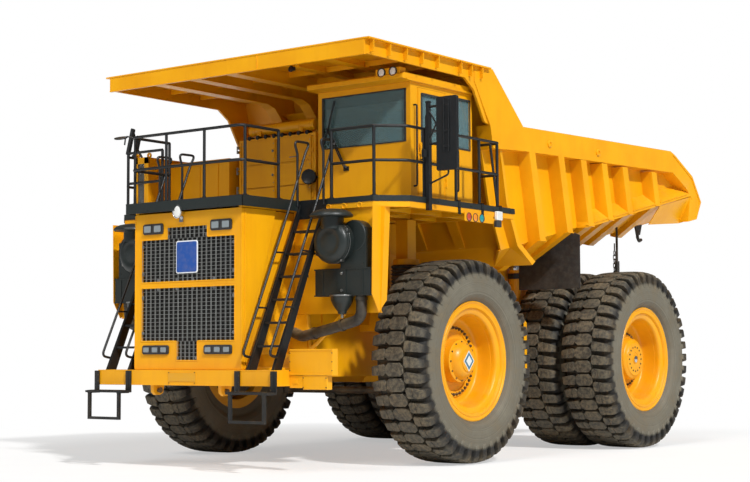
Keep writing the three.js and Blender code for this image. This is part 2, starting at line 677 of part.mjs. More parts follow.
function cabDoor() {
  const leaf = box(CAB_LEFT - CAB_WALL, CAB_LEFT, DOOR_FRONT, DOOR_REAR, DOOR_BOTTOM, DOOR_TOP);
  const window = box(CAB_LEFT - CAB_WALL - 10, CAB_LEFT + 10, DOOR_FRONT + DOOR_STILE, DOOR_REAR - DOOR_STILE,
    SILL_Z, HEAD_Z - 40);
  const handle = join(
    box(CAB_LEFT - 10, CAB_LEFT + 40, DOOR_FRONT + 20, DOOR_FRONT + 45, SILL_Z - 190, SILL_Z - 160),
    box(CAB_LEFT + 25, CAB_LEFT + 40, DOOR_FRONT + 20, DOOR_FRONT + 45, SILL_Z - 190, SILL_Z - 30),
    box(CAB_LEFT - 10, CAB_LEFT + 40, DOOR_FRONT + 20, DOOR_FRONT + 45, SILL_Z - 60, SILL_Z - 30),
  );
  const [pinX, pinY] = DOOR_PIN;
  const strap = [CAB_LEFT - 5, pinX - 8, pinY - STRAP, pinY];
  const hinges = DOOR_HINGES.map((z) => hingeHalf(DOOR_PIN, DOOR_PIN_RADIUS, z, z + HINGE_HALF_HIGH, strap));
  return join(cut(leaf, window), handle, hinges);
}

function doorGlass() {
  const x = CAB_LEFT - 35;
  return box(x, x + GLASS, DOOR_FRONT + DOOR_STILE + SEAT, DOOR_REAR - DOOR_STILE - SEAT,
    SILL_Z + SEAT, HEAD_Z - 40 - SEAT);
}

function seat(x) {
  const floor = CAB_FLOOR + CAB_WALL + SEAT;
  return join(
    box(x - 180, x + 180, -340, 20, floor, floor + 330),
    box(x - 260, x + 260, -460, 60, floor + 320, floor + 450),
    plateX([[0, floor + 440], [90, floor + 440], [190, floor + 1080], [110, floor + 1080]], x - 245, x + 245),
    plateX([[140, floor + 1070], [195, floor + 1070], [215, floor + 1280], [155, floor + 1280]], x - 140, x + 140),
  );
}

function dashboard() {
  const floor = CAB_FLOOR + CAB_WALL + SEAT;
  const wall = CAB_FRONT + CAB_WALL + SEAT;
  const wheel = toSolid(new THREE.TorusGeometry(225, 20, 6, 16).applyMatrix4(
    new THREE.Matrix4().makeRotationX(-0.55)).translate(1650, -640, floor + 830));
  return join(
    box(CAB_RIGHT + 150, CAB_LEFT - 150, wall, wall + 240, floor, floor + 700),
    box(CAB_RIGHT + 150, CAB_LEFT - 150, wall, wall + 330, floor + 600, floor + 790),
    bar([1650, wall + 200, floor + 560], [1650, -640, floor + 825], 40),
    box(1430, 1870, -660, -620, floor + 812, floor + 842),
    wheel,
  );
}

// ---------------------------------------------------------------- deck equipment

const CABINET_FLOOR = DECK_TOP + SEAT;
const CABINET_TOP = CABINET_FLOOR + CABINET_HIGH;
const CABINET_MID = (CABINET_LEFT + CABINET_RIGHT) / 2;
const CABINET_HINGES = [CABINET_FLOOR + 180, CABINET_TOP - 300];
const CABINET_PIN_LEFT = CABINET_LEFT - CABINET_WALL - RUN / 2;
const CABINET_PIN_RIGHT = CABINET_RIGHT + CABINET_WALL + RUN / 2;

// Halves of both hinges of a cabinet door; the strap runs from the pin along X by a signed length.
function cabinetHinges(pinX, reach, lift) {
  const y = CABINET_FRONT - CABINET_PIN_OUT;
  const strap = [Math.min(pinX, pinX + reach), Math.max(pinX, pinX + reach), y + 4, CABINET_FRONT + 8];
  return CABINET_HINGES.map((z) => hingeHalf([pinX, y], CABINET_PIN_RADIUS,
    z + lift, z + lift + HINGE_HALF_HIGH - SEAT, strap));
}

function controlCabinet() {
  const w = CABINET_WALL;
  const body = box(CABINET_RIGHT, CABINET_LEFT, CABINET_FRONT, CABINET_REAR, CABINET_FLOOR, CABINET_TOP);
  const room = box(CABINET_RIGHT + w, CABINET_LEFT - w, CABINET_FRONT - 10, CABINET_REAR - w,
    CABINET_FLOOR + w, CABINET_TOP - w);
  const y = CABINET_FRONT + 190;
  const saddle = (x) => box(x - 40, x + 40, y - 110, y + 110, CABINET_TOP - 10, CABINET_TOP + 130);
  const drum = bar([CABINET_RIGHT + 110, y, CABINET_TOP + 160], [CABINET_LEFT - 130, y, CABINET_TOP + 160], 95);
  const hinges = [cabinetHinges(CABINET_PIN_LEFT, 30, HINGE_HALF_HIGH), cabinetHinges(CABINET_PIN_RIGHT, -30, HINGE_HALF_HIGH)];
  return join(cut(body, room), saddle(CABINET_RIGHT + 350), saddle(CABINET_LEFT - 370), drum, hinges.flat());
}

// A cabinet door from its hinged edge to its free edge.
function cabinetDoor(pinX, side) {
  const g = CABINET_WALL + RUN;
  const hinged = pinX - side * RUN / 2;
  const free = CABINET_MID + side * 4;
  const [x0, x1] = [Math.min(hinged, free), Math.max(hinged, free)];
  const latch = CABINET_MID + side * 60;
  const leaf = box(x0, x1, CABINET_FRONT + 2, CABINET_FRONT + 30, CABINET_FLOOR + g, CABINET_TOP - g);
  const pull = (z) => box(latch - 18, latch + 18, CABINET_FRONT - 14, CABINET_FRONT + 10, z - 45, z + 45);
  return join(leaf, pull(CABINET_FLOOR + 330), pull(CABINET_FLOOR + 830), cabinetHinges(pinX, -side * STRAP, 0));
}

function gridBox() {
  const z = DECK_TOP + SEAT;
  return join(
    box(-2380, CABINET_RIGHT - 90, -1250, -300, z, z + 900),
    box(-2700, -2370, -1740, -300, z, z + 970),
  );
}

// ---------------------------------------------------------------- dump body

const floorZ = (y) => FLOOR_FRONT_Z + FLOOR_SLOPE * (y - FLOOR_FRONT);
const kneeZ = (y) => KNEE_Z + KNEE_SLOPE * (y - KNEE_Y);

// Outline of a side, as (y, z) points.
const RAIL_START = [1650, 5260];
const RAIL_END = [6430, 5330];
const TAIL_TOP = [6600, 5270];
const TAIL_BEND = [7250, 4930];
const TAIL_TIP = [BODY_TAIL, 4470];
const TAIL_FOOT = [FLOOR_REAR, floorZ(FLOOR_REAR)];
const WING_TOP = [CANOPY_REAR, CANOPY_TOP];
const FRONT_LINE = [[330, 5830], [740, 5190], [1010, 4010], [1290, 3410]];
const RAIL_DEEP = 390;

function sideRail() {
  const outer = [RAIL_START, RAIL_END, TAIL_TOP, TAIL_BEND, TAIL_TIP, TAIL_FOOT];
  const inner = [
    [TAIL_FOOT[0] - 330, floorZ(FLOOR_REAR - 330)], [7130, kneeZ(7130) - 20], [TAIL_TIP[0] - 330, 4480],
    [6980, 4700], [6500, 4940], [RAIL_START[0], RAIL_START[1] - RAIL_DEEP], [820, 4830], FRONT_LINE[1],
  ];
  return plateX([...outer, ...inner], BODY_HALF - RIB_DEEP - BODY_WALL, BODY_HALF);
}

function sideSheet() {
  const low = [[TAIL_FOOT[0] - 60, kneeZ(TAIL_FOOT[0] - 60)], [FRONT_LINE[3][0] + 40, kneeZ(FRONT_LINE[3][0] + 40)]];
  const sheet = plateX([RAIL_START, RAIL_END, TAIL_TOP, TAIL_BEND, [7480, 4480], ...low,
    FRONT_LINE[2], FRONT_LINE[1]], BODY_HALF - RIB_DEEP - BODY_WALL, BODY_HALF - RIB_DEEP);
  const wing = plateX([[FRONT_LINE[0][0], CANOPY_TOP], WING_TOP, RAIL_START, FRONT_LINE[1], FRONT_LINE[0]],
    BODY_HALF - BODY_WALL, BODY_HALF);
  return [sheet, wing];
}

// The slanting lower side, from the knee down and in to the floor, and the floor itself.
function lowerSide() {
  const x = BODY_HALF - RIB_DEEP;
  const y0 = FRONT_LINE[3][0];
  const y1 = FLOOR_REAR;
  const slant = hull([
    [x, y0, kneeZ(y0)], [x - BODY_WALL, y0, kneeZ(y0) + 10], [x, y1, kneeZ(y1)], [x - BODY_WALL, y1, kneeZ(y1) + 10],
    [FLOOR_HALF + 120, y0 + 710, floorZ(y0 + 710)], [FLOOR_HALF + 80, y0 + 710, floorZ(y0 + 710) + 60],
    [FLOOR_HALF, y1, floorZ(y1)], [FLOOR_HALF - 40, y1, floorZ(y1) + 60],
  ]);
  const plate = hull([
    [-10, FLOOR_FRONT, floorZ(FLOOR_FRONT)], [-10, FLOOR_FRONT, floorZ(FLOOR_FRONT) + 50],
    [-10, y1, floorZ(y1)], [-10, y1, floorZ(y1) + 50],
    [FLOOR_HALF + 120, FLOOR_FRONT, floorZ(FLOOR_FRONT)], [FLOOR_HALF + 120, FLOOR_FRONT, floorZ(FLOOR_FRONT) + 50],
    [FLOOR_HALF + 20, y1, floorZ(y1)], [FLOOR_HALF + 20, y1, floorZ(y1) + 50],
  ]);
  return join(slant, plate);
}

// One rib square to the floor: down the side, round the knee and in along the slant.
function sideRib(y) {
  const x = BODY_HALF;
  const wide = 85;
  const top = RAIL_START[1] - RAIL_DEEP + 20;
  const knee = kneeZ(y);
  const lean = (z) => y - FLOOR_SLOPE * (z - knee);
  const corner = (px, z, shift) => [px, lean(z) + shift, z];
  const post = hull([-wide, wide].flatMap((s) => [
    corner(x, top, s), corner(x - RIB_DEEP - 10, top, s), corner(x, knee, s), corner(x - RIB_DEEP - 10, knee - 40, s),
  ]));
  const foot = hull([-wide, wide].flatMap((s) => [
    corner(x, knee + 10, s), corner(x - RIB_DEEP - 10, knee + 10, s),
    corner(FLOOR_HALF - 60, floorZ(y) - 60, s), corner(FLOOR_HALF - 60, floorZ(y) + 20, s),
    corner(FLOOR_HALF + 60, floorZ(y) - 90, s),
  ]));
  return join(post, foot);
}

const RIB_YS = [2180, 3000, 3660, 4300, 4960, 5930];

function kneeRail() {
  const x = BODY_HALF;
  const inner = x - RIB_DEEP - 10;
  const ends = [3560, 7180];
  return hull(ends.flatMap((y) => [
    [x, y, kneeZ(y) - 10], [x, y, kneeZ(y) + 40], [inner, y, kneeZ(y) + 240], [inner, y, kneeZ(y) - 10],
  ]));
}

function frontWall() {
  const sheet = plateX([[CANOPY_REAR, CANOPY_TOP], [CANOPY_REAR - 75, CANOPY_TOP], [1130, 4560], [1240, 4010],
    [1560, 3340], [FLOOR_FRONT, FLOOR_FRONT_Z], [FLOOR_FRONT + 90, FLOOR_FRONT_Z + 60], [1640, 3400],
    [1310, 4010], [1200, 4560]], -10, CANOPY_HALF - 10);
  const top = box(-10, CANOPY_HALF, CANOPY_SPLIT + SEAT, CANOPY_REAR, CANOPY_TOP - CANOPY_PLATE, CANOPY_TOP);
  return join(sheet, top);
}

// Curved stiffeners of the front wall, which carry on the line of the canopy ribs.
function wallRib(x, deep) {
  const low = CANOPY_TOP - CANOPY_DEEP + 10;
  const outline = deep
    ? [[CANOPY_SPLIT + SEAT, CANOPY_TOP - 10], [CANOPY_SPLIT + SEAT, low], [60, low], [240, low - 60],
      [400, low - 220], [600, 5240], [860, 4480], [1020, 3900], [1500, 3320], [1700, 3330], [1270, 4010],
      [1160, 4560], [CANOPY_REAR - 20, CANOPY_TOP - 10]]
    : [[CANOPY_SPLIT + SEAT, CANOPY_TOP - 10], [CANOPY_SPLIT + SEAT, CANOPY_TOP - 120], [560, CANOPY_TOP - 120],
      [640, 5800], [1020, 4500], [1150, 3900], [1500, 3360], [1700, 3330], [1270, 4010], [1160, 4560],
      [CANOPY_REAR - 20, CANOPY_TOP - 10]];
  return plateX(outline, x - 60, x + 60);
}

// Closing plates at the two outer edges of the front wall, under the canopy corners.
function wingPlate() {
  const low = CANOPY_TOP - CANOPY_DEEP + 10;
  return plateX([[CANOPY_SPLIT + SEAT, CANOPY_TOP], [CANOPY_SPLIT + SEAT, low], [80, low], [330, 5690],
    [620, 5230], [760, 5190], [900, 5190], [CANOPY_REAR, CANOPY_TOP]], CANOPY_HALF - BODY_WALL, CANOPY_HALF);
}

function bodyEar() {
  const ear = plateX([[5650, floorZ(5650) + 20], [6850, floorZ(6850) + 20], [PIVOT_Y + 150, PIVOT_Z - 60],
    [PIVOT_Y + 60, PIVOT_Z - 150], [PIVOT_Y - 60, PIVOT_Z - 150], [PIVOT_Y - 150, PIVOT_Z - 60]],
  330, RAIL_IN - RUN);
  const bore = bar([300, PIVOT_Y, PIVOT_Z], [500, PIVOT_Y, PIVOT_Z], PIVOT_RADIUS + RUN);
  return cut(ear, bore);
}

function bodySill() {
  const low = RAIL_TOP + SEAT;
  const beam = plateX([[2350, floorZ(2350) + 20], [2500, low], [3500, low], [4300, RAIL_REAR_TOP - 50 + SEAT],
    [5880, RAIL_REAR_TOP + SEAT], [5880, floorZ(5880) + 20]], 540, RAIL_OUT);
  return join(beam, hoistPin(HOIST_HIGH_Y, HOIST_HIGH_Z));
}

function dumpBody() {
  const k = BODY_TAPER;
  const draw = new THREE.Matrix4().set(1, k, 0, -k * BODY_TAIL, 0, 1, 0, 0, 0, 0, 1, 0, 0, 0, 0, 1);
  const side = moved(join(sideRail(), ...sideSheet(), lowerSide(), RIB_YS.map(sideRib), kneeRail()), draw);
  const half = join(side, frontWall(), wingPlate(), bodyEar(), bodySill());
  const ribs = [[-1500, true], [-750, true], [0, true], [750, false], [1500, false]];
  const outriggers = [2900, 4300, 5500].map((y) => box(-900, 900, y - 60, y + 60, floorZ(y) - 190, floorZ(y) + 40));
  return join(bothSides(half), ribs.map(([x, deep]) => wallRib(x, deep)), outriggers);
}

function canopy() {
  const low = CANOPY_TOP - CANOPY_DEEP;
  const t = CANOPY_PLATE;
  const rear = CANOPY_SPLIT - SEAT;
  const plate = box(-CANOPY_HALF, CANOPY_HALF, CANOPY_FRONT, rear, CANOPY_TOP - t, CANOPY_TOP);
  const fascia = box(-CANOPY_HALF, CANOPY_HALF, CANOPY_FRONT, CANOPY_FRONT + t, low, CANOPY_TOP);
  const edge = box(CANOPY_HALF - t, CANOPY_HALF, CANOPY_FRONT, rear, low + 10, CANOPY_TOP);
  const ribs = [-1500, -750, 0, 750, 1500].map((x) =>
    box(x - 60, x + 60, CANOPY_FRONT + 10, rear, x > 0 ? CANOPY_TOP - 120 : low + 10, CANOPY_TOP - 10));
  return join(plate, fascia, bothSides(edge), ribs);
}

// What hangs under the body is drawn up into its sheets, and then cut back to them.
const drawIn = (y) => BODY_TAPER * (BODY_TAIL - y);
const slantFoot = (y) => [FLOOR_HALF + 100 - drawIn(y), floorZ(y) + 25];
const slantKnee = (y) => [BODY_HALF - RIB_DEEP - 15 - drawIn(y), kneeZ(y) + 10];

function hungUnder(body, piece) {
  return cut(piece, moved(body, new THREE.Matrix4().makeTranslation(0, 0, -SEAT)));
}

function mudFlap(body) {
  const y = 3290;
  const [foot, knee] = [slantFoot(y), slantKnee(y)];
  const flap = plateY([[1500, 2720], [2700, 2720], [2700, knee[1] - 100], knee, foot, [1500, foot[1]]], y - 8, y + 8);
  return hungUnder(body, flap);
}

function rockEjector(body) {
  const x = REAR_WHEEL_X - DUAL_SPACING / 2;
  const y = 5650;
  const [foot, knee] = [slantFoot(y), slantKnee(y)];
  const top = foot[1] + (knee[1] - foot[1]) * (x - foot[0]) / (knee[0] - foot[0]);
  const arm = join(
    box(x - 26, x + 26, y - 45, y + 45, 2720, 3300),
    bar([x, y, 3250], [x, y, top], 22, 10),
  );
  return hungUnder(body, arm);
}

// ---------------------------------------------------------------- hoists

const hoistAngle = Math.atan2(HOIST_HIGH_Z - HOIST_LOW_Z, HOIST_HIGH_Y - HOIST_LOW_Y);
const hoistLength = Math.hypot(HOIST_HIGH_Z - HOIST_LOW_Z, HOIST_HIGH_Y - HOIST_LOW_Y);
const alongHoist = (t) => [HOIST_X, HOIST_LOW_Y + t * Math.cos(hoistAngle), HOIST_LOW_Z + t * Math.sin(hoistAngle)];
const EYE_IN = HOIST_X - EYE_HALF + SEAT;
const EYE_OUT = HOIST_X + EYE_HALF;
const BARREL_TOP = 0.93 * hoistLength;

function hoistEye(t) {
  const [, y, z] = alongHoist(t);
  return join(
    bar([EYE_IN, y, z], [EYE_OUT, y, z], HOIST_EYE_RADIUS),
    bar([EYE_OUT - 10, y, z], [EYE_OUT + 22, y, z], 70),
  );
}

function hoistBarrel() {
  const tube = bar(alongHoist(90), alongHoist(BARREL_TOP), HOIST_RADIUS);
  const bore = bar(alongHoist(150), alongHoist(BARREL_TOP + 20), HOIST_BORE);
  return join(hoistEye(0), cut(tube, bore));
}

function hoistRod() {
  const rod = bar(alongHoist(165), alongHoist(hoistLength - 90), ROD_RADIUS);
  return join(hoistEye(hoistLength), rod);
}

// ---------------------------------------------------------------- the truck

const truck = new THREE.Group();

function add(name, solid, material) {
  const mesh = new THREE.Mesh(toGeometry(solid), material);
  mesh.name = name;
  truck.add(mesh);
}

function addPair(name, solid, material) {
  add(`${name}_left`, solid, material);
  add(`${name}_right`, mirrored(solid), material);
}

add("frame", frame(), ENAMEL);
add("engine_block", engineBlock(), CAST_STEEL);
add("radiator_hood", hood(), ENAMEL);
add("front_bumper", bumper(), ENAMEL);
addPair("boarding_step", boardingStep(), BLACK_PAINT);
addPair("ladder", ladder(), BLACK_PAINT);
add("deck", deck(), GREY_PAINT);
addPair("air_cleaner", airCleaner(), GREY_PAINT);
add("battery_box", batteryBox(), ENAMEL);
add("handrail_front", frontHandrail(), BLACK_PAINT);
addPair("handrail", sideHandrail(), BLACK_PAINT);
add("mirror_left", mirror(-1370, 4300, 5360), BLACK_PAINT);
add("mirror_right", mirrored(mirror(-1370, 4800, 5420)), BLACK_PAINT);
add("control_cabinet", controlCabinet(), ENAMEL);
add("cabinet_door_left", cabinetDoor(CABINET_PIN_LEFT, 1), ENAMEL);
add("cabinet_door_right", cabinetDoor(CABINET_PIN_RIGHT, -1), ENAMEL);
add("grid_box", gridBox(), ENAMEL);

add("cab_shell", cabShell(), ENAMEL);
add("cab_roof", cabRoof(), ENAMEL);
add("windscreen", windscreen(), TINTED_GLASS);
add("rear_glass", rearGlass(), TINTED_GLASS);
add("side_glass", sideGlass(), TINTED_GLASS);
add("quarter_glass", quarterGlass(), TINTED_GLASS);
add("cab_door", cabDoor(), ENAMEL);
add("door_glass", doorGlass(), TINTED_GLASS);
add("operator_seat", seat(1650), VINYL);
add("dashboard", dashboard(), VINYL);

add("fuel_tank", mirrored(fuelTank()), ENAMEL);
add("hydraulic_tank", hydraulicTank(), ENAMEL);
add("rear_axle", rearAxle(), CAST_STEEL);
addPair("rear_strut", rearStrut(), CAST_STEEL);

const body = dumpBody();
add("dump_body", body, ENAMEL);
add("canopy", canopy(), ENAMEL);
addPair("mud_flap", mudFlap(body), RUBBER);
addPair("rock_ejector", rockEjector(body), CAST_STEEL);
addPair("hoist_barrel", hoistBarrel(), ENAMEL);
addPair("hoist_rod", hoistRod(), CHROME_ROD);

addPair("knuckle", knuckle(), CAST_STEEL);
add("tie_rod", tieRod(), CAST_STEEL);
addPair("front_rim", frontRim(), ENAMEL);
addPair("front_tyre", tyre(FRONT_WHEEL_X, 0), RUBBER);
addPair("rear_rim", rearRim(), ENAMEL);
addPair("rear_tyre_outer", tyre(REAR_WHEEL_X, WHEELBASE), RUBBER);
addPair("rear_tyre_inner", tyre(REAR_WHEEL_X - DUAL_SPACING, WHEELBASE), RUBBER);

truck.position.y = -(STEP_FRONT + BODY_TAIL) / 2;

export default truck;
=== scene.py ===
import json
import math

import bmesh
import bpy
from mathutils import Matrix, Vector


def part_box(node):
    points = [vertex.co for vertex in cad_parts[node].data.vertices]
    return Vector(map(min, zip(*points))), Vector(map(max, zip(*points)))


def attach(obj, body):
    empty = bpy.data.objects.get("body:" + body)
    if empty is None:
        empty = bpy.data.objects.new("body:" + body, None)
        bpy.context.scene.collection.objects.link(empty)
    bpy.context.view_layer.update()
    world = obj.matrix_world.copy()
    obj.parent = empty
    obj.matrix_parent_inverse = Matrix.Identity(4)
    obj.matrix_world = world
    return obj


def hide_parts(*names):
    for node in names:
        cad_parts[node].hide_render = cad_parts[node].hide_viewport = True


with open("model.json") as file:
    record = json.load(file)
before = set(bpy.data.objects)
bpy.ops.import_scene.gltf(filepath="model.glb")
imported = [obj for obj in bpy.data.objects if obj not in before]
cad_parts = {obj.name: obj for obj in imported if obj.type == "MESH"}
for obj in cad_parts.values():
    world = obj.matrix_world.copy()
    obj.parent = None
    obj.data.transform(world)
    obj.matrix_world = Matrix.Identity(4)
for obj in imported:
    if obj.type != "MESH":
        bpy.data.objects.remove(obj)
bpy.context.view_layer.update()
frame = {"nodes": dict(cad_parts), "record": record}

bl_info = {
    "name": "Mining Dump Truck",
    "version": (1, 0, 0),
    "blender": (4, 5, 0),
    "location": "3D View > Sidebar > Dump Truck",
    "description": "Finishes a rigid-frame mining dump truck around its packed frame",
    "category": "Object",
}

NODES = frame["nodes"]
BODY_OF = {node: body for body, names in frame["record"]["behaviour"]["bodies"].items() for node in names}
SLOT_OF = {part["node"]: part["material_slot"] for part in frame["record"]["subparts"]}
MM = 0.001
AXLE_SHIFT = 1.985  # the frame's middle lies this far behind the front axle


# ---------------------------------------------------------------- colours and settings

def linear(code):
    """An sRGB hex colour as linear red, green, blue and alpha."""
    channels = [int(code[i:i + 2], 16) / 255 for i in (1, 3, 5)]
    return tuple(c / 12.92 if c <= 0.04045 else ((c + 0.055) / 1.055) ** 2.4 for c in channels) + (1.0,)


def colour(name, code, text):
    return bpy.props.FloatVectorProperty(
        name=name, description=text, default=linear(code), size=4, min=0, max=1, subtype="COLOR")


def length(name, value, text):
    return bpy.props.FloatProperty(name=name, description=text, default=value, min=0, unit="LENGTH")


def count(name, value, text):
    return bpy.props.IntProperty(name=name, description=text, default=value, min=1)


class TruckPaint(bpy.types.PropertyGroup):
    enamel: colour("Enamel", "#EDA80C", "Chrome yellow enamel of the body, frame and cab")
    enamel_deep: colour("Deep Enamel", "#E39A08", "The same enamel where it is thicker and warmer")
    black: colour("Black Paint", "#0C1013", "Blue-black paint of the ladders and handrails")
    deck: colour("Deck Paint", "#1C2423", "Grey-green paint of the deck and air cleaners")
    dust: colour("Dust", "#B59A6C", "Pale road dust that settles on everything")
    rubber: colour("Tyre Rubber", "#2A2925", "Weathered black rubber of the tyres")
    sidewall: colour("Sidewall", "#757061", "Bloomed and dusty rubber of the tyre sides")
    glass: colour("Glass", "#7FA7AE", "Green-blue tinted safety glass")
    plate: colour("Blank Plate", "#1F4E9C", "Plain blue enamel of the blank plate on the grille")


class TruckTyres(bpy.types.PropertyGroup):
    pitches: count("Pitches", 42, "Tread pitches round a tyre")
    lug_depth: length("Lug Depth", 0.085, "Depth of the grooves between the lugs")
    lug_bevel: length("Lug Bevel", 0.005, "Rounding of the lug edges")
    steps: count("Steps", 84, "Steps round a tyre's casing and a rim")


class TruckTubes(bpy.types.PropertyGroup):
    rail: length("Rail Radius", 0.022, "Radius of the handrail tube")
    bend: length("Bend Radius", 0.11, "Radius of a handrail's bends")
    sides: count("Sides", 12, "Sides of the handrail tube")


class TruckGrille(bpy.types.PropertyGroup):
    column: length("Column Spacing", 0.093, "Spacing of the paired upright wires")
    pair: length("Pair Gap", 0.016, "Gap between the two wires of a pair")
    row: length("Row Spacing", 0.054, "Spacing of the level wires")
    wire: length("Wire Radius", 0.0036, "Radius of the grille wire")


class TruckEdges(bpy.types.PropertyGroup):
    plate: length("Plate Edge", 0.008, "Rounding of the edges of folded plates")
    casting: length("Casting Edge", 0.014, "Rounding of the edges of castings and tanks")
    fine: length("Fine Edge", 0.004, "Rounding of the edges of small fittings")


SETTINGS = {
    "truck_paint": TruckPaint,
    "truck_tyres": TruckTyres,
    "truck_tubes": TruckTubes,
    "truck_grille": TruckGrille,
    "truck_edges": TruckEdges,
}


def paint():
    return bpy.context.scene.truck_paint


def edges():
    return bpy.context.scene.truck_edges


# ---------------------------------------------------------------- materials

def feed(tree, node, sockets):
    """Gives each socket of a node its value, or links it to another node's output."""
    for name, value in sockets.items():
        if isinstance(value, bpy.types.NodeSocket):
            tree.links.new(value, node.inputs[name])
        else:
            node.inputs[name].default_value = value


def add(tree, kind, output, sockets=None, **settings):
    """Adds one node with its settings and sockets, and gives one output, or all where none is named."""
    made = tree.nodes.new("ShaderNode" + kind)
    for name, value in settings.items():
        setattr(made, name, value)
    feed(tree, made, sockets or {})
    return made.outputs if output is None else made.outputs[output]


def material(name):
    """A new material with its tree and its shader, or None for the last two if it is already made."""
    found = bpy.data.materials.get(name)
    if found:
        return found, None, None
    made = bpy.data.materials.new(name)
    made.use_nodes = True
    return made, made.node_tree, made.node_tree.nodes["Principled BSDF"]


def tinted(shade, share):
    """The shade made darker or lighter by a share."""
    return tuple(min(1.0, share * channel) for channel in shade[:3]) + (1.0,)


def blotches(tree, place, size_mm, low, high, to_low=0.0, to_high=1.0, detail=3.0, roughness=0.5):
    """Clouded blotches about size_mm across, whose values from low to high run from to_low to to_high."""
    cloud = add(tree, "TexNoise", "Fac", {
        "Vector": place, "Scale": 1000.0 / size_mm, "Detail": detail, "Roughness": roughness})
    return add(tree, "MapRange", "Result", {
        "Value": cloud, "From Min": low, "From Max": high, "To Min": to_low, "To Max": to_high})


def grain(tree, place, size_mm, deep_mm, strength, detail=3.0, roughness=0.5, under=None):
    """Bumps about size_mm across and deep_mm deep, over another bump's normal where one is given."""
    height = add(tree, "TexNoise", "Fac", {
        "Vector": place, "Scale": 1000.0 / size_mm, "Detail": detail, "Roughness": roughness})
    bump = {"Height": height, "Strength": strength, "Distance": deep_mm * MM}
    if under:
        bump["Normal"] = under
    return add(tree, "Bump", "Normal", bump)


def settled_dust(tree, place, amount):
    """Dust that lies on faces that look up, and thickens towards the ground."""
    up = add(tree, "SeparateXYZ", "Z", {"Vector": add(tree, "NewGeometry", "Normal")})
    height = add(tree, "SeparateXYZ", "Z", {"Vector": place})
    lying = add(tree, "MapRange", "Result", {"Value": up, "From Min": 0.2, "From Max": 1.0})
    low = add(tree, "MapRange", "Result", {"Value": height, "From Min": 3.2, "From Max": 0.4,
                                           "To Max": 0.55})
    patches = blotches(tree, place, 240, 0.38, 0.72, detail=6.0, roughness=0.6)
    dust = add(tree, "Math", 0, {0: lying, 1: low}, operation="ADD")
    dust = add(tree, "Math", 0, {0: dust, 1: patches}, operation="MULTIPLY")
    return add(tree, "Math", 0, {0: dust, 1: amount}, operation="MULTIPLY")


def enamel():
    """Alkyd enamel sprayed on welded steel: a warm semi-gloss with faint orange peel, uneven film
    thickness and road dust that dulls it from below."""
    made, tree, shader = material("chrome_yellow_enamel")
    if tree is None:
        return made
    place = add(tree, "TexCoord", "Object")
    film = blotches(tree, place, 900, 0.35, 0.7, detail=4.0)
    drawn = add(tree, "Mapping", 0, {"Vector": place, "Scale": (5.0, 5.0, 0.5)})
    runs = blotches(tree, drawn, 700, 0.5, 0.8, 0.0, 0.25, 5.0, 0.65)
    base = add(tree, "Mix", 2, {0: film, 6: paint().enamel, 7: paint().enamel_deep}, data_type="RGBA")
    base = add(tree, "Mix", 2, {0: runs, 6: base, 7: linear("#CE8410")}, data_type="RGBA")
    dust = settled_dust(tree, place, 0.14)
    gloss = blotches(tree, place, 60, 0.3, 0.75, 0.30, 0.46, 4.0)
    dulled = add(tree, "Math", 0, {0: dust, 1: 0.5}, operation="MULTIPLY")
    dents = grain(tree, place, 380, 2.2, 0.35, 2.0)
    feed(tree, shader, {
        "Base Color": add(tree, "Mix", 2, {0: dust, 6: base, 7: paint().dust}, data_type="RGBA"),
        "Roughness": add(tree, "Math", 0, {0: gloss, 1: dulled}, operation="ADD"),
        "IOR": 1.5, "Specular IOR Level": 0.32,
        "Normal": grain(tree, place, 6, 0.25, 0.35, 2.0, under=dents)})
    return made


def machinery_paint(name, shade, roughness=0.45, amount=0.08, wear="#33332F"):
    """Two-pack machinery paint on tube and plate: satin, with dust in the corners and rubbed spots
    where boots and gloves have thinned it."""
    made, tree, shader = material(name)
    if tree is None:
        return made
    place = add(tree, "TexCoord", "Object")
    tone = blotches(tree, place, 420, 0.3, 0.75, 0.0, 0.45, 5.0)
    base = add(tree, "Mix", 2, {0: tone, 6: shade, 7: tinted(shade, 0.55)}, data_type="RGBA")
    rubbed = blotches(tree, place, 45, 0.66, 0.76, 0.0, 0.5, 6.0, 0.7)
    base = add(tree, "Mix", 2, {0: rubbed, 6: base, 7: linear(wear)}, data_type="RGBA")
    dust = settled_dust(tree, place, amount)
    feed(tree, shader, {
        "Base Color": add(tree, "Mix", 2, {0: dust, 6: base, 7: paint().dust}, data_type="RGBA"),
        "Roughness": blotches(tree, place, 30, 0.3, 0.7, roughness - 0.08, roughness + 0.12),
        "Normal": grain(tree, place, 5, 0.3, 0.4, 2.0)})
    return made


def black_paint():
    return machinery_paint("blue_black_machinery_paint", paint().black)


def deck_paint():
    return machinery_paint("grey_green_machinery_paint", paint().deck, 0.40)


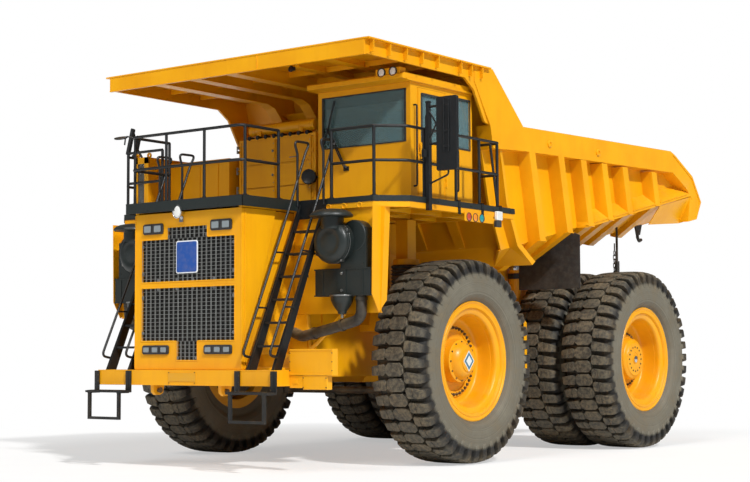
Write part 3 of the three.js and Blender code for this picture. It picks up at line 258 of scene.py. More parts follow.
def tread_plate():
    """Hot-rolled five-bar tread plate, painted grey: raised bars 28 mm long in crossed groups."""
    made, tree, shader = material("painted_tread_plate")
    if tree is None:
        return made
    place = add(tree, "TexCoord", "Object")
    bars = []
    for turn in (0.785, -0.785):
        crossed = add(tree, "Mapping", 0, {"Vector": place, "Rotation": (0, 0, turn)})
        bars.append(add(tree, "TexBrick", "Fac", {
            "Vector": crossed, "Scale": 1.0, "Brick Width": 0.064, "Row Height": 0.016,
            "Mortar Size": 0.0055,
            "Mortar Smooth": 0.6, "Color1": (1, 1, 1, 1), "Color2": (1, 1, 1, 1), "Mortar": (0, 0, 0, 1)},
            offset=0.5))
    squares = add(tree, "TexChecker", "Fac", {"Vector": place, "Scale": 1000.0 / 64})
    raised = add(tree, "Mix", 0, {0: squares, 2: bars[0], 3: bars[1]})
    paler_patches = blotches(tree, place, 500, 0.45, 0.75, detail=5.0)
    base = add(tree, "Mix", 2, {0: paler_patches, 6: paint().deck, 7: linear("#565B57")}, data_type="RGBA")
    dust = settled_dust(tree, place, 0.75)
    feed(tree, shader, {
        "Base Color": add(tree, "Mix", 2, {0: dust, 6: base, 7: paint().dust}, data_type="RGBA"),
        "Roughness": 0.55,
        "Normal": add(tree, "Bump", "Normal", {"Height": raised, "Strength": 0.8, "Distance": 2.5 * MM})})
    return made


def cast_steel(name="cast_steel_primed", shade="#4B4843"):
    """Sand-cast steel under thin primer: grainy, with oil stain and dust baked on."""
    made, tree, shader = material(name)
    if tree is None:
        return made
    place = add(tree, "TexCoord", "Object")
    stain = blotches(tree, place, 160, 0.35, 0.7, detail=6.0, roughness=0.65)
    base = add(tree, "Mix", 2, {0: stain, 6: linear(shade), 7: linear("#2A2723")}, data_type="RGBA")
    dust = settled_dust(tree, place, 0.7)
    feed(tree, shader, {
        "Base Color": add(tree, "Mix", 2, {0: dust, 6: base, 7: paint().dust}, data_type="RGBA"),
        "Roughness": add(tree, "MapRange", "Result", {"Value": stain, "To Min": 0.68, "To Max": 0.38}),
        "Metallic": 0.35, "Normal": grain(tree, place, 7, 0.9, 0.6, 4.0)})
    return made


def bright_steel(name="zinc_plated_steel", shade="#A9ABAA", roughness=0.34):
    """Zinc-plated or chromed steel: bright, with faint milky blotches from handling."""
    made, tree, shader = material(name)
    if tree is None:
        return made
    place = add(tree, "TexCoord", "Object")
    milky = blotches(tree, place, 30, 0.3, 0.7, detail=4.0)
    metal = linear(shade)
    feed(tree, shader, {
        "Base Color": add(tree, "Mix", 2, {0: milky, 6: metal, 7: tinted(metal, 0.7)}, data_type="RGBA"),
        "Roughness": blotches(tree, place, 30, 0.2, 0.8, roughness - 0.1, roughness + 0.12, 4.0),
        "Metallic": 1.0})
    return made


def chrome():
    return bright_steel("hard_chrome", "#D6D8DA", 0.14)


def tinted_glass():
    """Laminated safety glass with a green-blue tint, film of dust outside."""
    made, tree, shader = material("tinted_safety_glass")
    if tree is None:
        return made
    place = add(tree, "TexCoord", "Object")
    film = blotches(tree, place, 300, 0.35, 0.75, 0.02, 0.12, 5.0, 0.6)
    haze = {"Value": film, "From Max": 0.15, "To Min": 0.03, "To Max": 0.16}
    feed(tree, shader, {
        "Base Color": add(tree, "Mix", 2, {0: film, 6: paint().glass, 7: paint().dust}, data_type="RGBA"),
        "Roughness": add(tree, "MapRange", "Result", haze),
        "Transmission Weight": 0.62, "IOR": 1.5, "Specular IOR Level": 0.6})
    return made


def moulded_rubber(name="moulded_black_rubber", shade="#262524", roughness=0.7):
    """Moulded EPDM and natural rubber: dull black with a grey bloom."""
    made, tree, shader = material(name)
    if tree is None:
        return made
    place = add(tree, "TexCoord", "Object")
    bloom = blotches(tree, place, 90, 0.4, 0.75, 0.0, 0.5, 5.0, 0.6)
    base = add(tree, "Mix", 2, {0: bloom, 6: linear(shade), 7: linear("#4A4844")}, data_type="RGBA")
    dust = settled_dust(tree, place, 0.5)
    feed(tree, shader, {
        "Base Color": add(tree, "Mix", 2, {0: dust, 6: base, 7: paint().dust}, data_type="RGBA"),
        "Roughness": roughness, "Normal": grain(tree, place, 4, 0.3, 0.5)})
    return made


def moulded_plastic(name="moulded_abs_trim", shade="#2B2C2E"):
    """Grained ABS and vinyl of the cab's inside: low sheen with a fine leather grain."""
    made, tree, shader = material(name)
    if tree is None:
        return made
    place = add(tree, "TexCoord", "Object")
    leather = add(tree, "TexVoronoi", "Distance", {"Vector": place, "Scale": 1000.0 / 4})
    tone = add(tree, "TexNoise", "Fac", {
        "Vector": place, "Scale": 1000.0 / 150, "Detail": 3.0, "Roughness": 0.5})
    base = add(tree, "Mix", 2, {0: tone, 6: linear(shade), 7: linear("#3A3B3D")}, data_type="RGBA")
    feed(tree, shader, {
        "Base Color": base, "Roughness": 0.6,
        "Normal": add(tree, "Bump", "Normal", {"Height": leather, "Strength": 0.5, "Distance": 0.4 * MM})})
    return made


def lamp_lens(name="clear_lamp_lens", shade="#D9DAD6"):
    """Polycarbonate lamp lens moulded with fine flutes over a bright reflector."""
    made, tree, shader = material(name)
    if tree is None:
        return made
    place = add(tree, "TexCoord", "Object")
    flutes = add(tree, "TexWave", "Fac", {"Vector": place, "Scale": 1000.0 / 36, "Distortion": 0.0},
                 bands_direction="X")
    tone = linear(shade)
    feed(tree, shader, {
        "Base Color": add(tree, "Mix", 2, {0: flutes, 6: tone, 7: tinted(tone, 1.35)}, data_type="RGBA"),
        "Roughness": 0.12, "Coat Weight": 0.6,
        "Normal": add(tree, "Bump", "Normal", {"Height": flutes, "Strength": 0.5, "Distance": 1.2 * MM})})
    return made


def flat_enamel(name, shade):
    """Screened enamel of a small blank plate: even and glossy, with a little dust."""
    made, tree, shader = material(name)
    if tree is None:
        return made
    place = add(tree, "TexCoord", "Object")
    film = blotches(tree, place, 60, 0.4, 0.8, 0.0, 0.12, 4.0)
    feed(tree, shader, {
        "Base Color": add(tree, "Mix", 2, {0: film, 6: shade, 7: paint().dust}, data_type="RGBA"),
        "Roughness": 0.3})
    return made


def tyre_rubber(name, axle):
    """Carbon-black tyre rubber: painted darker in the grooves for the shade that falls there, scuffed brown
    with a painted highlight on the lugs' tops, and a paler bloomed sidewall with fine rings. axle is a point
    on the wheel's axle."""
    made, tree, shader = material(name)
    if tree is None:
        return made
    place = add(tree, "Mapping", 0, {
        "Vector": add(tree, "TexCoord", "Object"), "Location": (0, -axle[1], -axle[2])})
    parts = add(tree, "SeparateXYZ", None, {"Vector": place})
    flat = add(tree, "CombineXYZ", 0, {"Y": parts["Y"], "Z": parts["Z"]})
    radius = add(tree, "VectorMath", "Value", {0: flat}, operation="LENGTH")
    # Painted shade: below the lugs' tops the rubber turns darker (#1B1A18) for the shade in the grooves.
    raised = add(tree, "MapRange", "Result", {"Value": radius, "From Min": 1.445, "From Max": 1.475})
    tread = add(tree, "Mix", 2, {0: raised, 6: linear("#1B1A18"), 7: paint().rubber}, data_type="RGBA")
    # The lugs' tops turn tan (#746B58) in patches: partly real scuffing, partly a painted highlight of light
    # on the lug tops.
    high = add(tree, "MapRange", "Result", {"Value": radius, "From Min": 1.40, "From Max": 1.525})
    paler_patches = add(tree, "Math", 0, {
        0: high, 1: blotches(tree, place, 55, 0.40, 0.62, 0.10, 0.70, 7.0, 0.65)}, operation="MULTIPLY")
    tread = add(tree, "Mix", 2, {0: paler_patches, 6: tread, 7: linear("#746B58")}, data_type="RGBA")
    bloom = blotches(tree, place, 380, 0.3, 0.75, detail=4.0)
    side = add(tree, "Mix", 2, {0: bloom, 6: paint().sidewall, 7: linear("#5A564A")}, data_type="RGBA")
    rings = add(tree, "TexNoise", "Fac", {"W": radius, "Scale": 70.0, "Detail": 4.0}, noise_dimensions="1D")
    ringed = add(tree, "MapRange", "Result", {
        "Value": rings, "From Min": 0.35, "From Max": 0.65, "To Max": 0.35})
    side = add(tree, "Mix", 2, {0: ringed, 6: side, 7: linear("#3D3A33")}, data_type="RGBA")
    shoulder = add(tree, "MapRange", "Result", {"Value": radius, "From Min": 1.285, "From Max": 1.335})
    base = add(tree, "Mix", 2, {0: shoulder, 6: side, 7: tread}, data_type="RGBA")
    dusty = add(tree, "Math", 0, {
        0: blotches(tree, place, 380, 0.45, 0.8, 0.0, 0.30, 4.0),
        1: blotches(tree, place, 55, 0.3, 0.7, detail=7.0, roughness=0.65)}, operation="MULTIPLY")
    fine = add(tree, "Bump", "Normal", {"Height": rings, "Strength": 0.5, "Distance": 1.2 * MM})
    feed(tree, shader, {
        "Base Color": add(tree, "Mix", 2, {0: dusty, 6: base, 7: paint().dust}, data_type="RGBA"),
        "Roughness": blotches(tree, place, 55, 0.3, 0.7, 0.62, 0.9, 7.0, 0.65),
        "Normal": grain(tree, place, 12, 1.6, 0.6, 6.0, 0.7, under=fine)})
    return made


# ---------------------------------------------------------------- shapes

CURVE_STEPS = 5  # steps along a bend of a tube and round the corner of a panel
MERGED = 2e-5  # vertices nearer than this, in metres, are one
SHARP = math.radians(38)  # edges that turn by more than this are rounded


def at(x, y, z):
    """A point given in millimetres, with y from the front axle and z from the ground."""
    return Vector((x * MM, y * MM - AXLE_SHIFT, z * MM))


def box(bm, low, high):
    """A box between two corners."""
    made = bmesh.ops.create_cube(bm, size=1.0)["verts"]
    low, high = Vector(low), Vector(high)
    bmesh.ops.scale(bm, vec=high - low, verts=made)
    bmesh.ops.translate(bm, vec=(low + high) / 2, verts=made)


def spots(points, side=1):
    """Points given in millimetres on the truck's left, or on its right where side is -1."""
    return [at(side * x, y, z) for x, y, z in points]


def block(bm, x, y, z, side=1):
    """A box between two values each of x, y and z, in millimetres on the truck's left, or on its right
    where side is -1."""
    low, high = zip(sorted(side * value for value in x), sorted(y), sorted(z))
    box(bm, at(*low), at(*high))


def rod(bm, start, end, radius, sides=12, end_radius=None):
    """A round bar from start to end, tapered where a second radius is given."""
    start, end = Vector(start), Vector(end)
    turn = (end - start).to_track_quat("Z", "Y").to_matrix().to_4x4()
    bmesh.ops.create_cone(bm, cap_ends=True, segments=sides, radius1=radius, depth=(end - start).length,
                          radius2=radius if end_radius is None else end_radius,
                          matrix=Matrix.Translation((start + end) / 2) @ turn)


def turned(bm, profile, centre, axis, steps=32):
    """Spins pairs of (distance along the axis, radius) about an axis through a centre."""
    axis = Vector(axis).normalized()
    side = axis.orthogonal().normalized()
    verts = [bm.verts.new(Vector(centre) + axis * along + side * radius) for along, radius in profile]
    lines = [bm.edges.new(pair) for pair in zip(verts, verts[1:])]
    bmesh.ops.spin(bm, geom=verts + lines, cent=centre, axis=axis, dvec=(0, 0, 0),
                   angle=math.tau, steps=steps, use_merge=True)


def plate(bm, outline, thickness):
    """A flat plate: its outline, then its thickness as a vector."""
    face = bm.faces.new([bm.verts.new(point) for point in outline])
    made = bmesh.ops.extrude_face_region(bm, geom=[face])["geom"]
    moved = [part for part in made if isinstance(part, bmesh.types.BMVert)]
    bmesh.ops.translate(bm, vec=thickness, verts=moved)
    return list(face.verts) + moved


def rounded(points, radius):
    """The points with each inner corner replaced by a short curve of about that radius."""
    points = [Vector(point) for point in points]
    path = [points[0]]
    for before, corner, after in zip(points, points[1:], points[2:]):
        back, on = before - corner, after - corner
        turn = math.pi - back.angle(on)
        if radius == 0 or turn < 0.05:
            path.append(corner)
            continue
        reach = min(radius * math.tan(turn / 2), 0.48 * back.length, 0.48 * on.length)
        first, last = corner + back.normalized() * reach, corner + on.normalized() * reach
        for step in range(CURVE_STEPS + 1):
            t = step / CURVE_STEPS
            path.append(first.lerp(corner, t).lerp(corner.lerp(last, t), t))
    return path + [points[-1]]


def pipe(bm, points, radius, bend=0.0, sides=12):
    """A round tube along points, with its corners bent to a radius."""
    path = rounded(points, bend)
    ways = [(b - a).normalized() for a, b in zip(path, path[1:])]
    ways = [ways[0]] + [(a + b).normalized() for a, b in zip(ways, ways[1:])] + [ways[-1]]
    turn = ways[0].to_track_quat("Z", "Y").to_matrix()
    place = Matrix.Translation(path[0]) @ turn.to_4x4()
    ring = bmesh.ops.create_circle(bm, cap_ends=True, segments=sides, radius=radius, matrix=place)["verts"]
    rim = list({edge for vert in ring for edge in vert.link_edges})
    for before, way, point in zip(ways, ways[1:], path[1:]):
        turn = before.rotation_difference(way).to_matrix() @ turn
        moved = Matrix.Translation(point) @ turn.to_4x4()
        made = bmesh.ops.extrude_edge_only(bm, edges=rim)["geom"]
        ring = [part for part in made if isinstance(part, bmesh.types.BMVert)]
        rim = [part for part in made if isinstance(part, bmesh.types.BMEdge)]
        bmesh.ops.transform(bm, matrix=moved @ place.inverted(), verts=ring)
        place = moved
    bmesh.ops.contextual_create(bm, geom=rim)


def hexagon_bolt(bm, centre, axis, across, high):
    """A bolt head on a washer, standing along an axis."""
    centre, axis = Vector(centre), Vector(axis).normalized()
    rod(bm, centre, centre + axis * 0.25 * high, 0.68 * across, 12)
    rod(bm, centre + axis * 0.25 * high, centre + axis * high, 0.56 * across, 6)


def repeated(bm, geometry, count_around, centre, axis):
    """Copies geometry round an axis so that there are count_around of it."""
    bmesh.ops.spin(bm, geom=geometry, cent=centre, axis=axis, dvec=(0, 0, 0), use_duplicate=True,
                   angle=math.tau * (count_around - 1) / count_around, steps=count_around - 1)


def whole(bm):
    """All the geometry there is so far."""
    return bm.verts[:] + bm.edges[:] + bm.faces[:]


def finished(name, bm, slot, surface=None, body="chassis", replaces=(), bevel=0.0, smooth=38):
    """Makes a piece of a bmesh: it takes its slot's usual surface where none is given, rides
    on a body, and may stand for CAD nodes."""
    bmesh.ops.remove_doubles(bm, verts=bm.verts, dist=MERGED)
    bmesh.ops.recalc_face_normals(bm, faces=bm.faces)
    mesh = bpy.data.meshes.new(name)
    bm.to_mesh(mesh)
    bm.free()
    mesh.shade_smooth()
    mesh.set_sharp_from_angle(angle=math.radians(smooth))
    mesh.materials.append(surface or SURFACES[slot]())
    piece = bpy.data.objects.new(name, mesh)
    bpy.context.scene.collection.objects.link(piece)
    if bevel:
        rounding = piece.modifiers.new("rounded edges", "BEVEL")
        rounding.width = bevel
        rounding.segments = 2
        rounding.limit_method = "ANGLE"
        rounding.angle_limit = SHARP
        rounding.use_clamp_overlap = True
        rounding.harden_normals = True
    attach(piece, body)
    if replaces:
        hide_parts(*replaces)
    return piece


def softened(node, bevel):
    """A merged copy of a CAD node with rounded edges, which stands for the node."""
    bm = bmesh.new()
    bm.from_mesh(NODES[node].data)
    bmesh.ops.remove_doubles(bm, verts=bm.verts, dist=MERGED)
    bmesh.ops.dissolve_limit(bm, angle_limit=math.radians(1.0), use_dissolve_boundaries=False,
                             verts=bm.verts, edges=bm.edges)
    finished(node + "_plating", bm, SLOT_OF[node], body=BODY_OF[node], replaces=[node], bevel=bevel)


# ---------------------------------------------------------------- stage

class BuildStage(bpy.types.Operator):
    """Sets up the camera, the pale floor and the soft light"""
    bl_idname = "truck.stage"
    bl_label = "Stage"

    def execute(self, context):
        scene = context.scene
        camera = bpy.data.objects.new("camera", bpy.data.cameras.new("camera"))
        camera.data.lens = 75.1
        camera.data.sensor_width = 36.0
        camera.data.clip_end = 500.0
        azimuth, pitch, roll = math.radians(37.28), math.radians(4.11), math.radians(-0.26)
        camera.location = (15.80, -21.565, 1.65)
        camera.rotation_euler = (
            Matrix.Rotation(azimuth, 4, "Z") @ Matrix.Rotation(math.pi / 2 + pitch, 4, "X")
            @ Matrix.Rotation(roll, 4, "Z")).to_euler()
        scene.collection.objects.link(camera)
        scene.camera = camera

        # The key stands high over the truck's left side; a weak, broad fill comes from ahead.
        for name, energy, spread, way in (
                ("key", 3.25, 4, (1.0, -0.42, 0.95)), ("fill", 1.1, 20, (0.1, -1.0, 1.05))):
            light = bpy.data.objects.new(name, bpy.data.lights.new(name, "SUN"))
            light.data.energy = energy
            light.data.angle = math.radians(spread)
            light.rotation_euler = Vector(way).to_track_quat("Z", "Y").to_euler()
            scene.collection.objects.link(light)

        world = bpy.data.worlds.new("white studio")
        world.use_nodes = True
        scene.world = world
        tree = world.node_tree
        tree.nodes.clear()
        white = (1.0, 1.0, 1.0, 1.0)
        sky = add(tree, "Background", 0, {"Color": white, "Strength": 0.20})
        seen = add(tree, "Background", 0, {"Color": white, "Strength": 1.0})
        path = add(tree, "LightPath", None)
        direct = add(tree, "Math", 0, {0: path["Is Camera Ray"], 1: path["Is Transmission Ray"]},
                     operation="MAXIMUM")
        add(tree, "OutputWorld", None, {"Surface": add(tree, "MixShader", 0, {0: direct, 1: sky, 2: seen})})

        bm = bmesh.new()
        bmesh.ops.create_circle(bm, cap_ends=True, segments=96, radius=120.0)
        mesh = bpy.data.meshes.new("floor")
        bm.to_mesh(mesh)
        bm.free()
        floor = bpy.data.objects.new("floor", mesh)
        floor.data.materials.append(self.floor_surface())
        scene.collection.objects.link(floor)
        return {"FINISHED"}

    def floor_surface(self):
        """Matt white studio floor that fades into the white behind it and keeps a soft shadow."""
        made, tree, shader = material("matt_white_studio_floor")
        place = add(tree, "TexCoord", "Object")
        tone = add(tree, "TexNoise", "Fac", {
            "Vector": place, "Scale": 1000.0 / 900, "Detail": 2.0, "Roughness": 0.5})
        feed(tree, shader, {"Roughness": 0.9, "Base Color": add(
            tree, "Mix", 2, {0: tone, 6: linear("#F4F3F1"), 7: linear("#F8F8F7")}, data_type="RGBA")})
        distance = add(tree, "VectorMath", "Value", {0: place}, operation="LENGTH")
        white = add(tree, "Emission", 0, {"Color": (1.0, 1.0, 1.0, 1.0), "Strength": 1.0})
        fade = add(tree, "MapRange", "Result", {
            "Value": distance, "From Min": 6.0, "From Max": 13.0, "To Min": 0.45, "To Max": 1.0})
        seen = add(tree, "Math", 0, {0: fade, 1: add(tree, "LightPath", "Is Camera Ray")},
                   operation="MULTIPLY")
        blend = add(tree, "MixShader", 0, {0: seen, 1: shader.outputs[0], 2: white})
        feed(tree, tree.nodes["Material Output"], {"Surface": blend})
        return made


# ---------------------------------------------------------------- carried-over plate work and castings

SURFACES = {
    "yellow_enamel": enamel,
    "black_paint": black_paint,
    "grey_paint": deck_paint,
    "tinted_glass": tinted_glass,
    "cast_steel": cast_steel,
    "cab_trim": moulded_plastic,
    "flap_rubber": moulded_rubber,
    "chromed_rod": chrome,
    "tyre_rubber": moulded_rubber,
}
PLATED = [
    "frame", "radiator_hood", "front_bumper", "battery_box", "control_cabinet", "cabinet_door_left",
    "cabinet_door_right", "grid_box", "cab_shell", "cab_roof", "cab_door", "dump_body", "canopy",
    "fuel_tank", "hydraulic_tank", "mud_flap_left", "mud_flap_right", "engine_block",
    "rear_axle", "knuckle_left", "knuckle_right",
    "rock_ejector_left", "rock_ejector_right", "boarding_step_left", "boarding_step_right",
]


class BuildPlating(bpy.types.Operator):
    """Rounds the edges of the plate work and castings and gives every CAD part its finish"""
    bl_idname = "truck.plating"
    bl_label = "Plating and castings"

    def execute(self, context):
        for node, piece in NODES.items():
            slot = SLOT_OF[node]
            piece.data.materials.clear()
            piece.data.materials.append(SURFACES[slot]())
            if node in PLATED:
                casting = slot in ("cast_steel", "flap_rubber")
                softened(node, edges().casting if casting else edges().plate)
        return {"FINISHED"}


# ---------------------------------------------------------------- tyres

WHEELS = {
    "front_tyre_left": "front_wheel_left", "front_tyre_right": "front_wheel_right",
    "rear_tyre_outer_left": "rear_wheel_left", "rear_tyre_inner_left": "rear_wheel_left",
    "rear_tyre_outer_right": "rear_wheel_right", "rear_tyre_inner_right": "rear_wheel_right",
}


def centre_of(node):
    low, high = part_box(node)
    return (Vector(low) + Vector(high)) / 2


class BuildTyres(bpy.types.Operator):
    """Builds the six earthmover tyres with their rock lugs"""
    bl_idname = "truck.tyres"
    bl_label = "Tyres"

    HALF_WIDTH = 0.4695  # of the tyre as it is drawn here, before it is fitted to its own frame
    CASING = [
        (0.330, 0.805), (0.345, 0.840), (0.350, 0.892), (0.364, 0.915), (0.392, 0.932), (0.424, 0.955),
        (0.444, 0.985), (0.449, 0.993), (0.455, 1.004), (0.453, 1.018), (0.461, 1.040), (0.4665, 1.090),
        (0.466, 1.150), (0.464, 1.166), (0.4675, 1.176), (0.466, 1.190), (0.458, 1.240), (0.448, 1.290),
        (0.430, 1.335), (0.405, 1.378), (0.360, 1.415), (0.280, 1.436), (0.150, 1.444),
    ]
    SHOULDER = [  # across the tread, radius, then the start and end of the lug in parts of a pitch
        (0.165, 1.529, 0.24, 0.72), (0.190, 1.529, 0.12, 0.84), (0.268, 1.526, 0.12, 0.80),
    ]
    SHOULDER_END = [
        (0.273, 1.525, 0.12, 0.80), (0.345, 1.519, 0.10, 0.74), (0.418, 1.501, 0.09, 0.67),
        (0.462, 1.430, 0.10, 0.62), (0.4690, 1.330, 0.14, 0.58), (0.4675, 1.255, 0.20, 0.52),
    ]
    CENTRE = [
        (-0.158, 1.529, 0.28, 0.70), (-0.098, 1.530, 0.07, 0.93), (0.098, 1.530, 0.07, 0.93),
        (0.158, 1.529, 0.28, 0.70),
    ]

    def lug(self, bm, stations, turn, depth, pitch):
        rows = []
        for across, radius, first, last in stations:
            for share in (first, last):
                angle = (share + turn) * pitch
                rows.append(bm.verts.new((across, radius * math.sin(angle), radius * math.cos(angle))))
        faces = [bm.faces.new([rows[start + step] for step in (0, 1, 3, 2)])
                 for start in range(0, len(rows) - 2, 2)]
        made = bmesh.ops.extrude_face_region(bm, geom=faces)["geom"]
        roots = [part for part in made if isinstance(part, bmesh.types.BMVert)]
        for vert in roots:
            flat = Vector((0, vert.co.y, vert.co.z))
            vert.co -= flat.normalized() * min(depth, flat.length - 1.20)
            vert.co.x *= 0.94 if abs(vert.co.x) > 0.38 else 1.0

    def build(self):
        tyre = bpy.context.scene.truck_tyres
        pitch = math.tau / tyre.pitches
        bm = bmesh.new()
        depth = tyre.lug_depth + 0.02  # the lugs' roots stand in the casing
        for side in (1, -1):
            turn = 0.0 if side > 0 else 0.5
            for stations in (self.SHOULDER, self.SHOULDER_END):
                self.lug(bm, [(side * x, r, a, b) for x, r, a, b in stations], turn, depth, pitch)
        self.lug(bm, self.CENTRE, 0.5, depth, pitch)
        bmesh.ops.recalc_face_normals(bm, faces=bm.faces)
        sharp = [edge for edge in bm.edges if edge.calc_face_angle(0) > math.radians(40)]
        bmesh.ops.bevel(bm, geom=sharp, offset=tyre.lug_bevel, segments=1, affect="EDGES", profile=0.5,
                        material=-1, clamp_overlap=True)
        repeated(bm, whole(bm), tyre.pitches, (0, 0, 0), (1, 0, 0))
        casing = self.CASING + [(0.0, 1.446)] + [(-x, r) for x, r in reversed(self.CASING[2:])]
        casing += [(-0.345, 0.820), (-0.330, 0.700), (-0.314, 0.735), (-0.318, 0.88), (-0.37, 0.99),
                   (-0.41, 1.10), (-0.38, 1.25), (-0.30, 1.34), (0.30, 1.34), (0.38, 1.25), (0.41, 1.10),
                   (0.37, 0.99), (0.318, 0.88), (0.314, 0.815), casing[0]]
        turned(bm, casing, (0, 0, 0), (1, 0, 0), tyre.steps)
        bmesh.ops.remove_doubles(bm, verts=bm.verts, dist=MERGED)
        bmesh.ops.recalc_face_normals(bm, faces=bm.faces)
        return bm

    def execute(self, context):
        pattern = self.build()
        for node, body in WHEELS.items():
            bm = pattern.copy()
            centre = centre_of(node)
            half = (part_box(node)[1][0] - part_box(node)[0][0]) / 2
            bmesh.ops.scale(bm, vec=(half / self.HALF_WIDTH, 1, 1), verts=bm.verts)
            if "right" in node:
                bmesh.ops.rotate(bm, cent=(0, 0, 0), matrix=Matrix.Rotation(math.pi, 3, "Z"), verts=bm.verts)
            bmesh.ops.translate(bm, vec=centre, verts=bm.verts)
            surface = tyre_rubber("earthmover_tyre_rubber_" + ("front" if "front" in node else "rear"),
                                  centre)
            finished(node + "_tread", bm, "tyre_rubber", surface, body, replaces=[node], smooth=24)
        pattern.free()
        return {"FINISHED"}


# ---------------------------------------------------------------- rims

class BuildRims(bpy.types.Operator):
    """Builds the dished rims, their lock rings, hubs and bolts"""
    bl_idname = "truck.rims"
    bl_label = "Rims and hubs"

    def flange(self, outward):
        """A rim flange and its lock ring, as (across, radius) from the well outwards."""
        return [(outward * x, r) for x, r in (
            (0.262, 0.690), (0.300, 0.699), (0.318, 0.720), (0.326, 0.800), (0.333, 0.884), (0.346, 0.903),
            (0.362, 0.899), (0.369, 0.882), (0.360, 0.866), (0.352, 0.858), (0.352, 0.836), (0.362, 0.828),
            (0.362, 0.800), (0.350, 0.792))]

    def front(self, bm, x, y, z, side):
        centre, axis = (x, y, z), (side, 0, 0)
        dish = [(-0.345, 0.640), (-0.345, 0.786), (-0.300, 0.700), (0.262, 0.690)] + self.flange(1)
        dish += [(0.330, 0.784), (0.240, 0.768), (0.228, 0.752), (0.220, 0.700), (0.212, 0.688),
                 (0.120, 0.676), (0.010, 0.664), (-0.014, 0.650), (-0.026, 0.620), (-0.026, 0.552),
                 (-0.010, 0.546), (-0.010, 0.462), (-0.026, 0.454), (-0.026, 0.298), (-0.078, 0.298),
                 (-0.078, 0.620), (-0.345, 0.640)]
        turned(bm, dish, centre, axis, 96)
        hub = [
            (-0.03, 0.330), (0.130, 0.322), (0.140, 0.310), (0.144, 0.286), (0.186, 0.262), (0.218, 0.236),
            (0.242, 0.206), (0.250, 0.190), (0.256, 0.168), (0.272, 0.160), (0.274, 0.090), (0.2745, 0.0)]
        turned(bm, [(-0.06, 0.0), (-0.06, 0.29)] + hub, centre, axis, 64)

    def rear(self, bm, x, y, z, side):
        centre, axis = (x, y, z), (side, 0, 0)
        low = -1.040
        dish = [(low - 0.345, 0.640), (low - 0.345, 0.786), (low - 0.300, 0.699), (low + 0.300, 0.697),
                (low + 0.322, 0.835), (low + 0.336, 0.835), (low + 0.345, 0.695), (-0.345, 0.695),
                (-0.345, 0.786), (-0.300, 0.699), (0.262, 0.690)] + self.flange(1)
        dish += [(0.330, 0.784), (0.236, 0.770), (0.224, 0.752), (0.216, 0.700), (0.208, 0.688),
                 (0.100, 0.676), (0.000, 0.664), (-0.024, 0.650), (-0.036, 0.620), (-0.036, 0.470),
                 (-0.014, 0.462), (-0.010, 0.430), (-0.016, 0.375), (0.010, 0.361), (0.130, 0.352),
                 (0.148, 0.342), (0.160, 0.316), (0.174, 0.292), (0.186, 0.282), (0.188, 0.120),
                 (0.182, 0.116), (0.182, 0.080), (0.192, 0.076), (0.1945, 0.050), (0.1945, 0.0)]
        turned(bm, [(low - 0.298, 0.0), (low - 0.298, 0.64)] + dish, centre, axis, 96)

    def bolts(self, bm, x, y, z, side, radius, number, stand, across, high):
        centre = Vector((x, y, z))
        part = bmesh.new()
        hexagon_bolt(part, centre + Vector((side * stand, 0, radius)), (side, 0, 0), across, high)
        repeated(part, whole(part), number, centre, (1, 0, 0))
        mesh = bpy.data.meshes.new("bolts")
        part.to_mesh(mesh)
        part.free()
        bm.from_mesh(mesh)
        bpy.data.meshes.remove(mesh)

    def execute(self, context):
        for end, deep in (("front", self.front), ("rear", self.rear)):
            for side, hand in ((1, "left"), (-1, "right")):
                node = end + "_rim_" + hand
                body = BODY_OF[node]
                tyre = end + "_tyre_" + hand if end == "front" else "rear_tyre_outer_" + hand
                centre = centre_of(tyre)
                bm = bmesh.new()
                deep(bm, *centre, side)
                finished(node + "_dish", bm, "yellow_enamel", body=body, replaces=[node], smooth=42)
                bm = bmesh.new()
                if end == "front":
                    self.bolts(bm, *centre, side, 0.505, 40, -0.012, 0.036, 0.030)
                    self.bolts(bm, *centre, side, 0.292, 12, 0.134, 0.024, 0.020)
                else:
                    self.bolts(bm, *centre, side, 0.448, 36, -0.016, 0.034, 0.028)
                    self.bolts(bm, *centre, side, 0.210, 16, 0.185, 0.024, 0.010)
                finished(node + "_bolts", bm, "cast_steel", cast_steel("oiled_bolt_steel", "#5A4A34"), body,
                         smooth=30)
        return {"FINISHED"}


# ---------------------------------------------------------------- radiator grille and hood

def rounded_panel(bm, middle, half_x, half_z, thick, corner):
    """A thin upright plate that faces forwards, with rounded corners."""
    outline = []
    for turn in range(4):
        for step in range(CURVE_STEPS + 1):
            angle = math.radians(90 * turn + 90 * step / CURVE_STEPS)
            sx = 1 if turn in (0, 3) else -1
            sz = 1 if turn in (0, 1) else -1
            outline.append(middle + Vector((
                sx * (half_x - corner) + corner * math.cos(angle), 0,
                sz * (half_z - corner) + corner * math.sin(angle))))
    return plate(bm, outline, (0, thick, 0))


HOOD_FACE = -3300
OPENINGS = [  # half width, lowest and highest point of each field of mesh, in millimetres
    (930, 2700, 3330), (400, 3330, 3500), (930, 1840, 2620), (210, 1560, 1840),
]


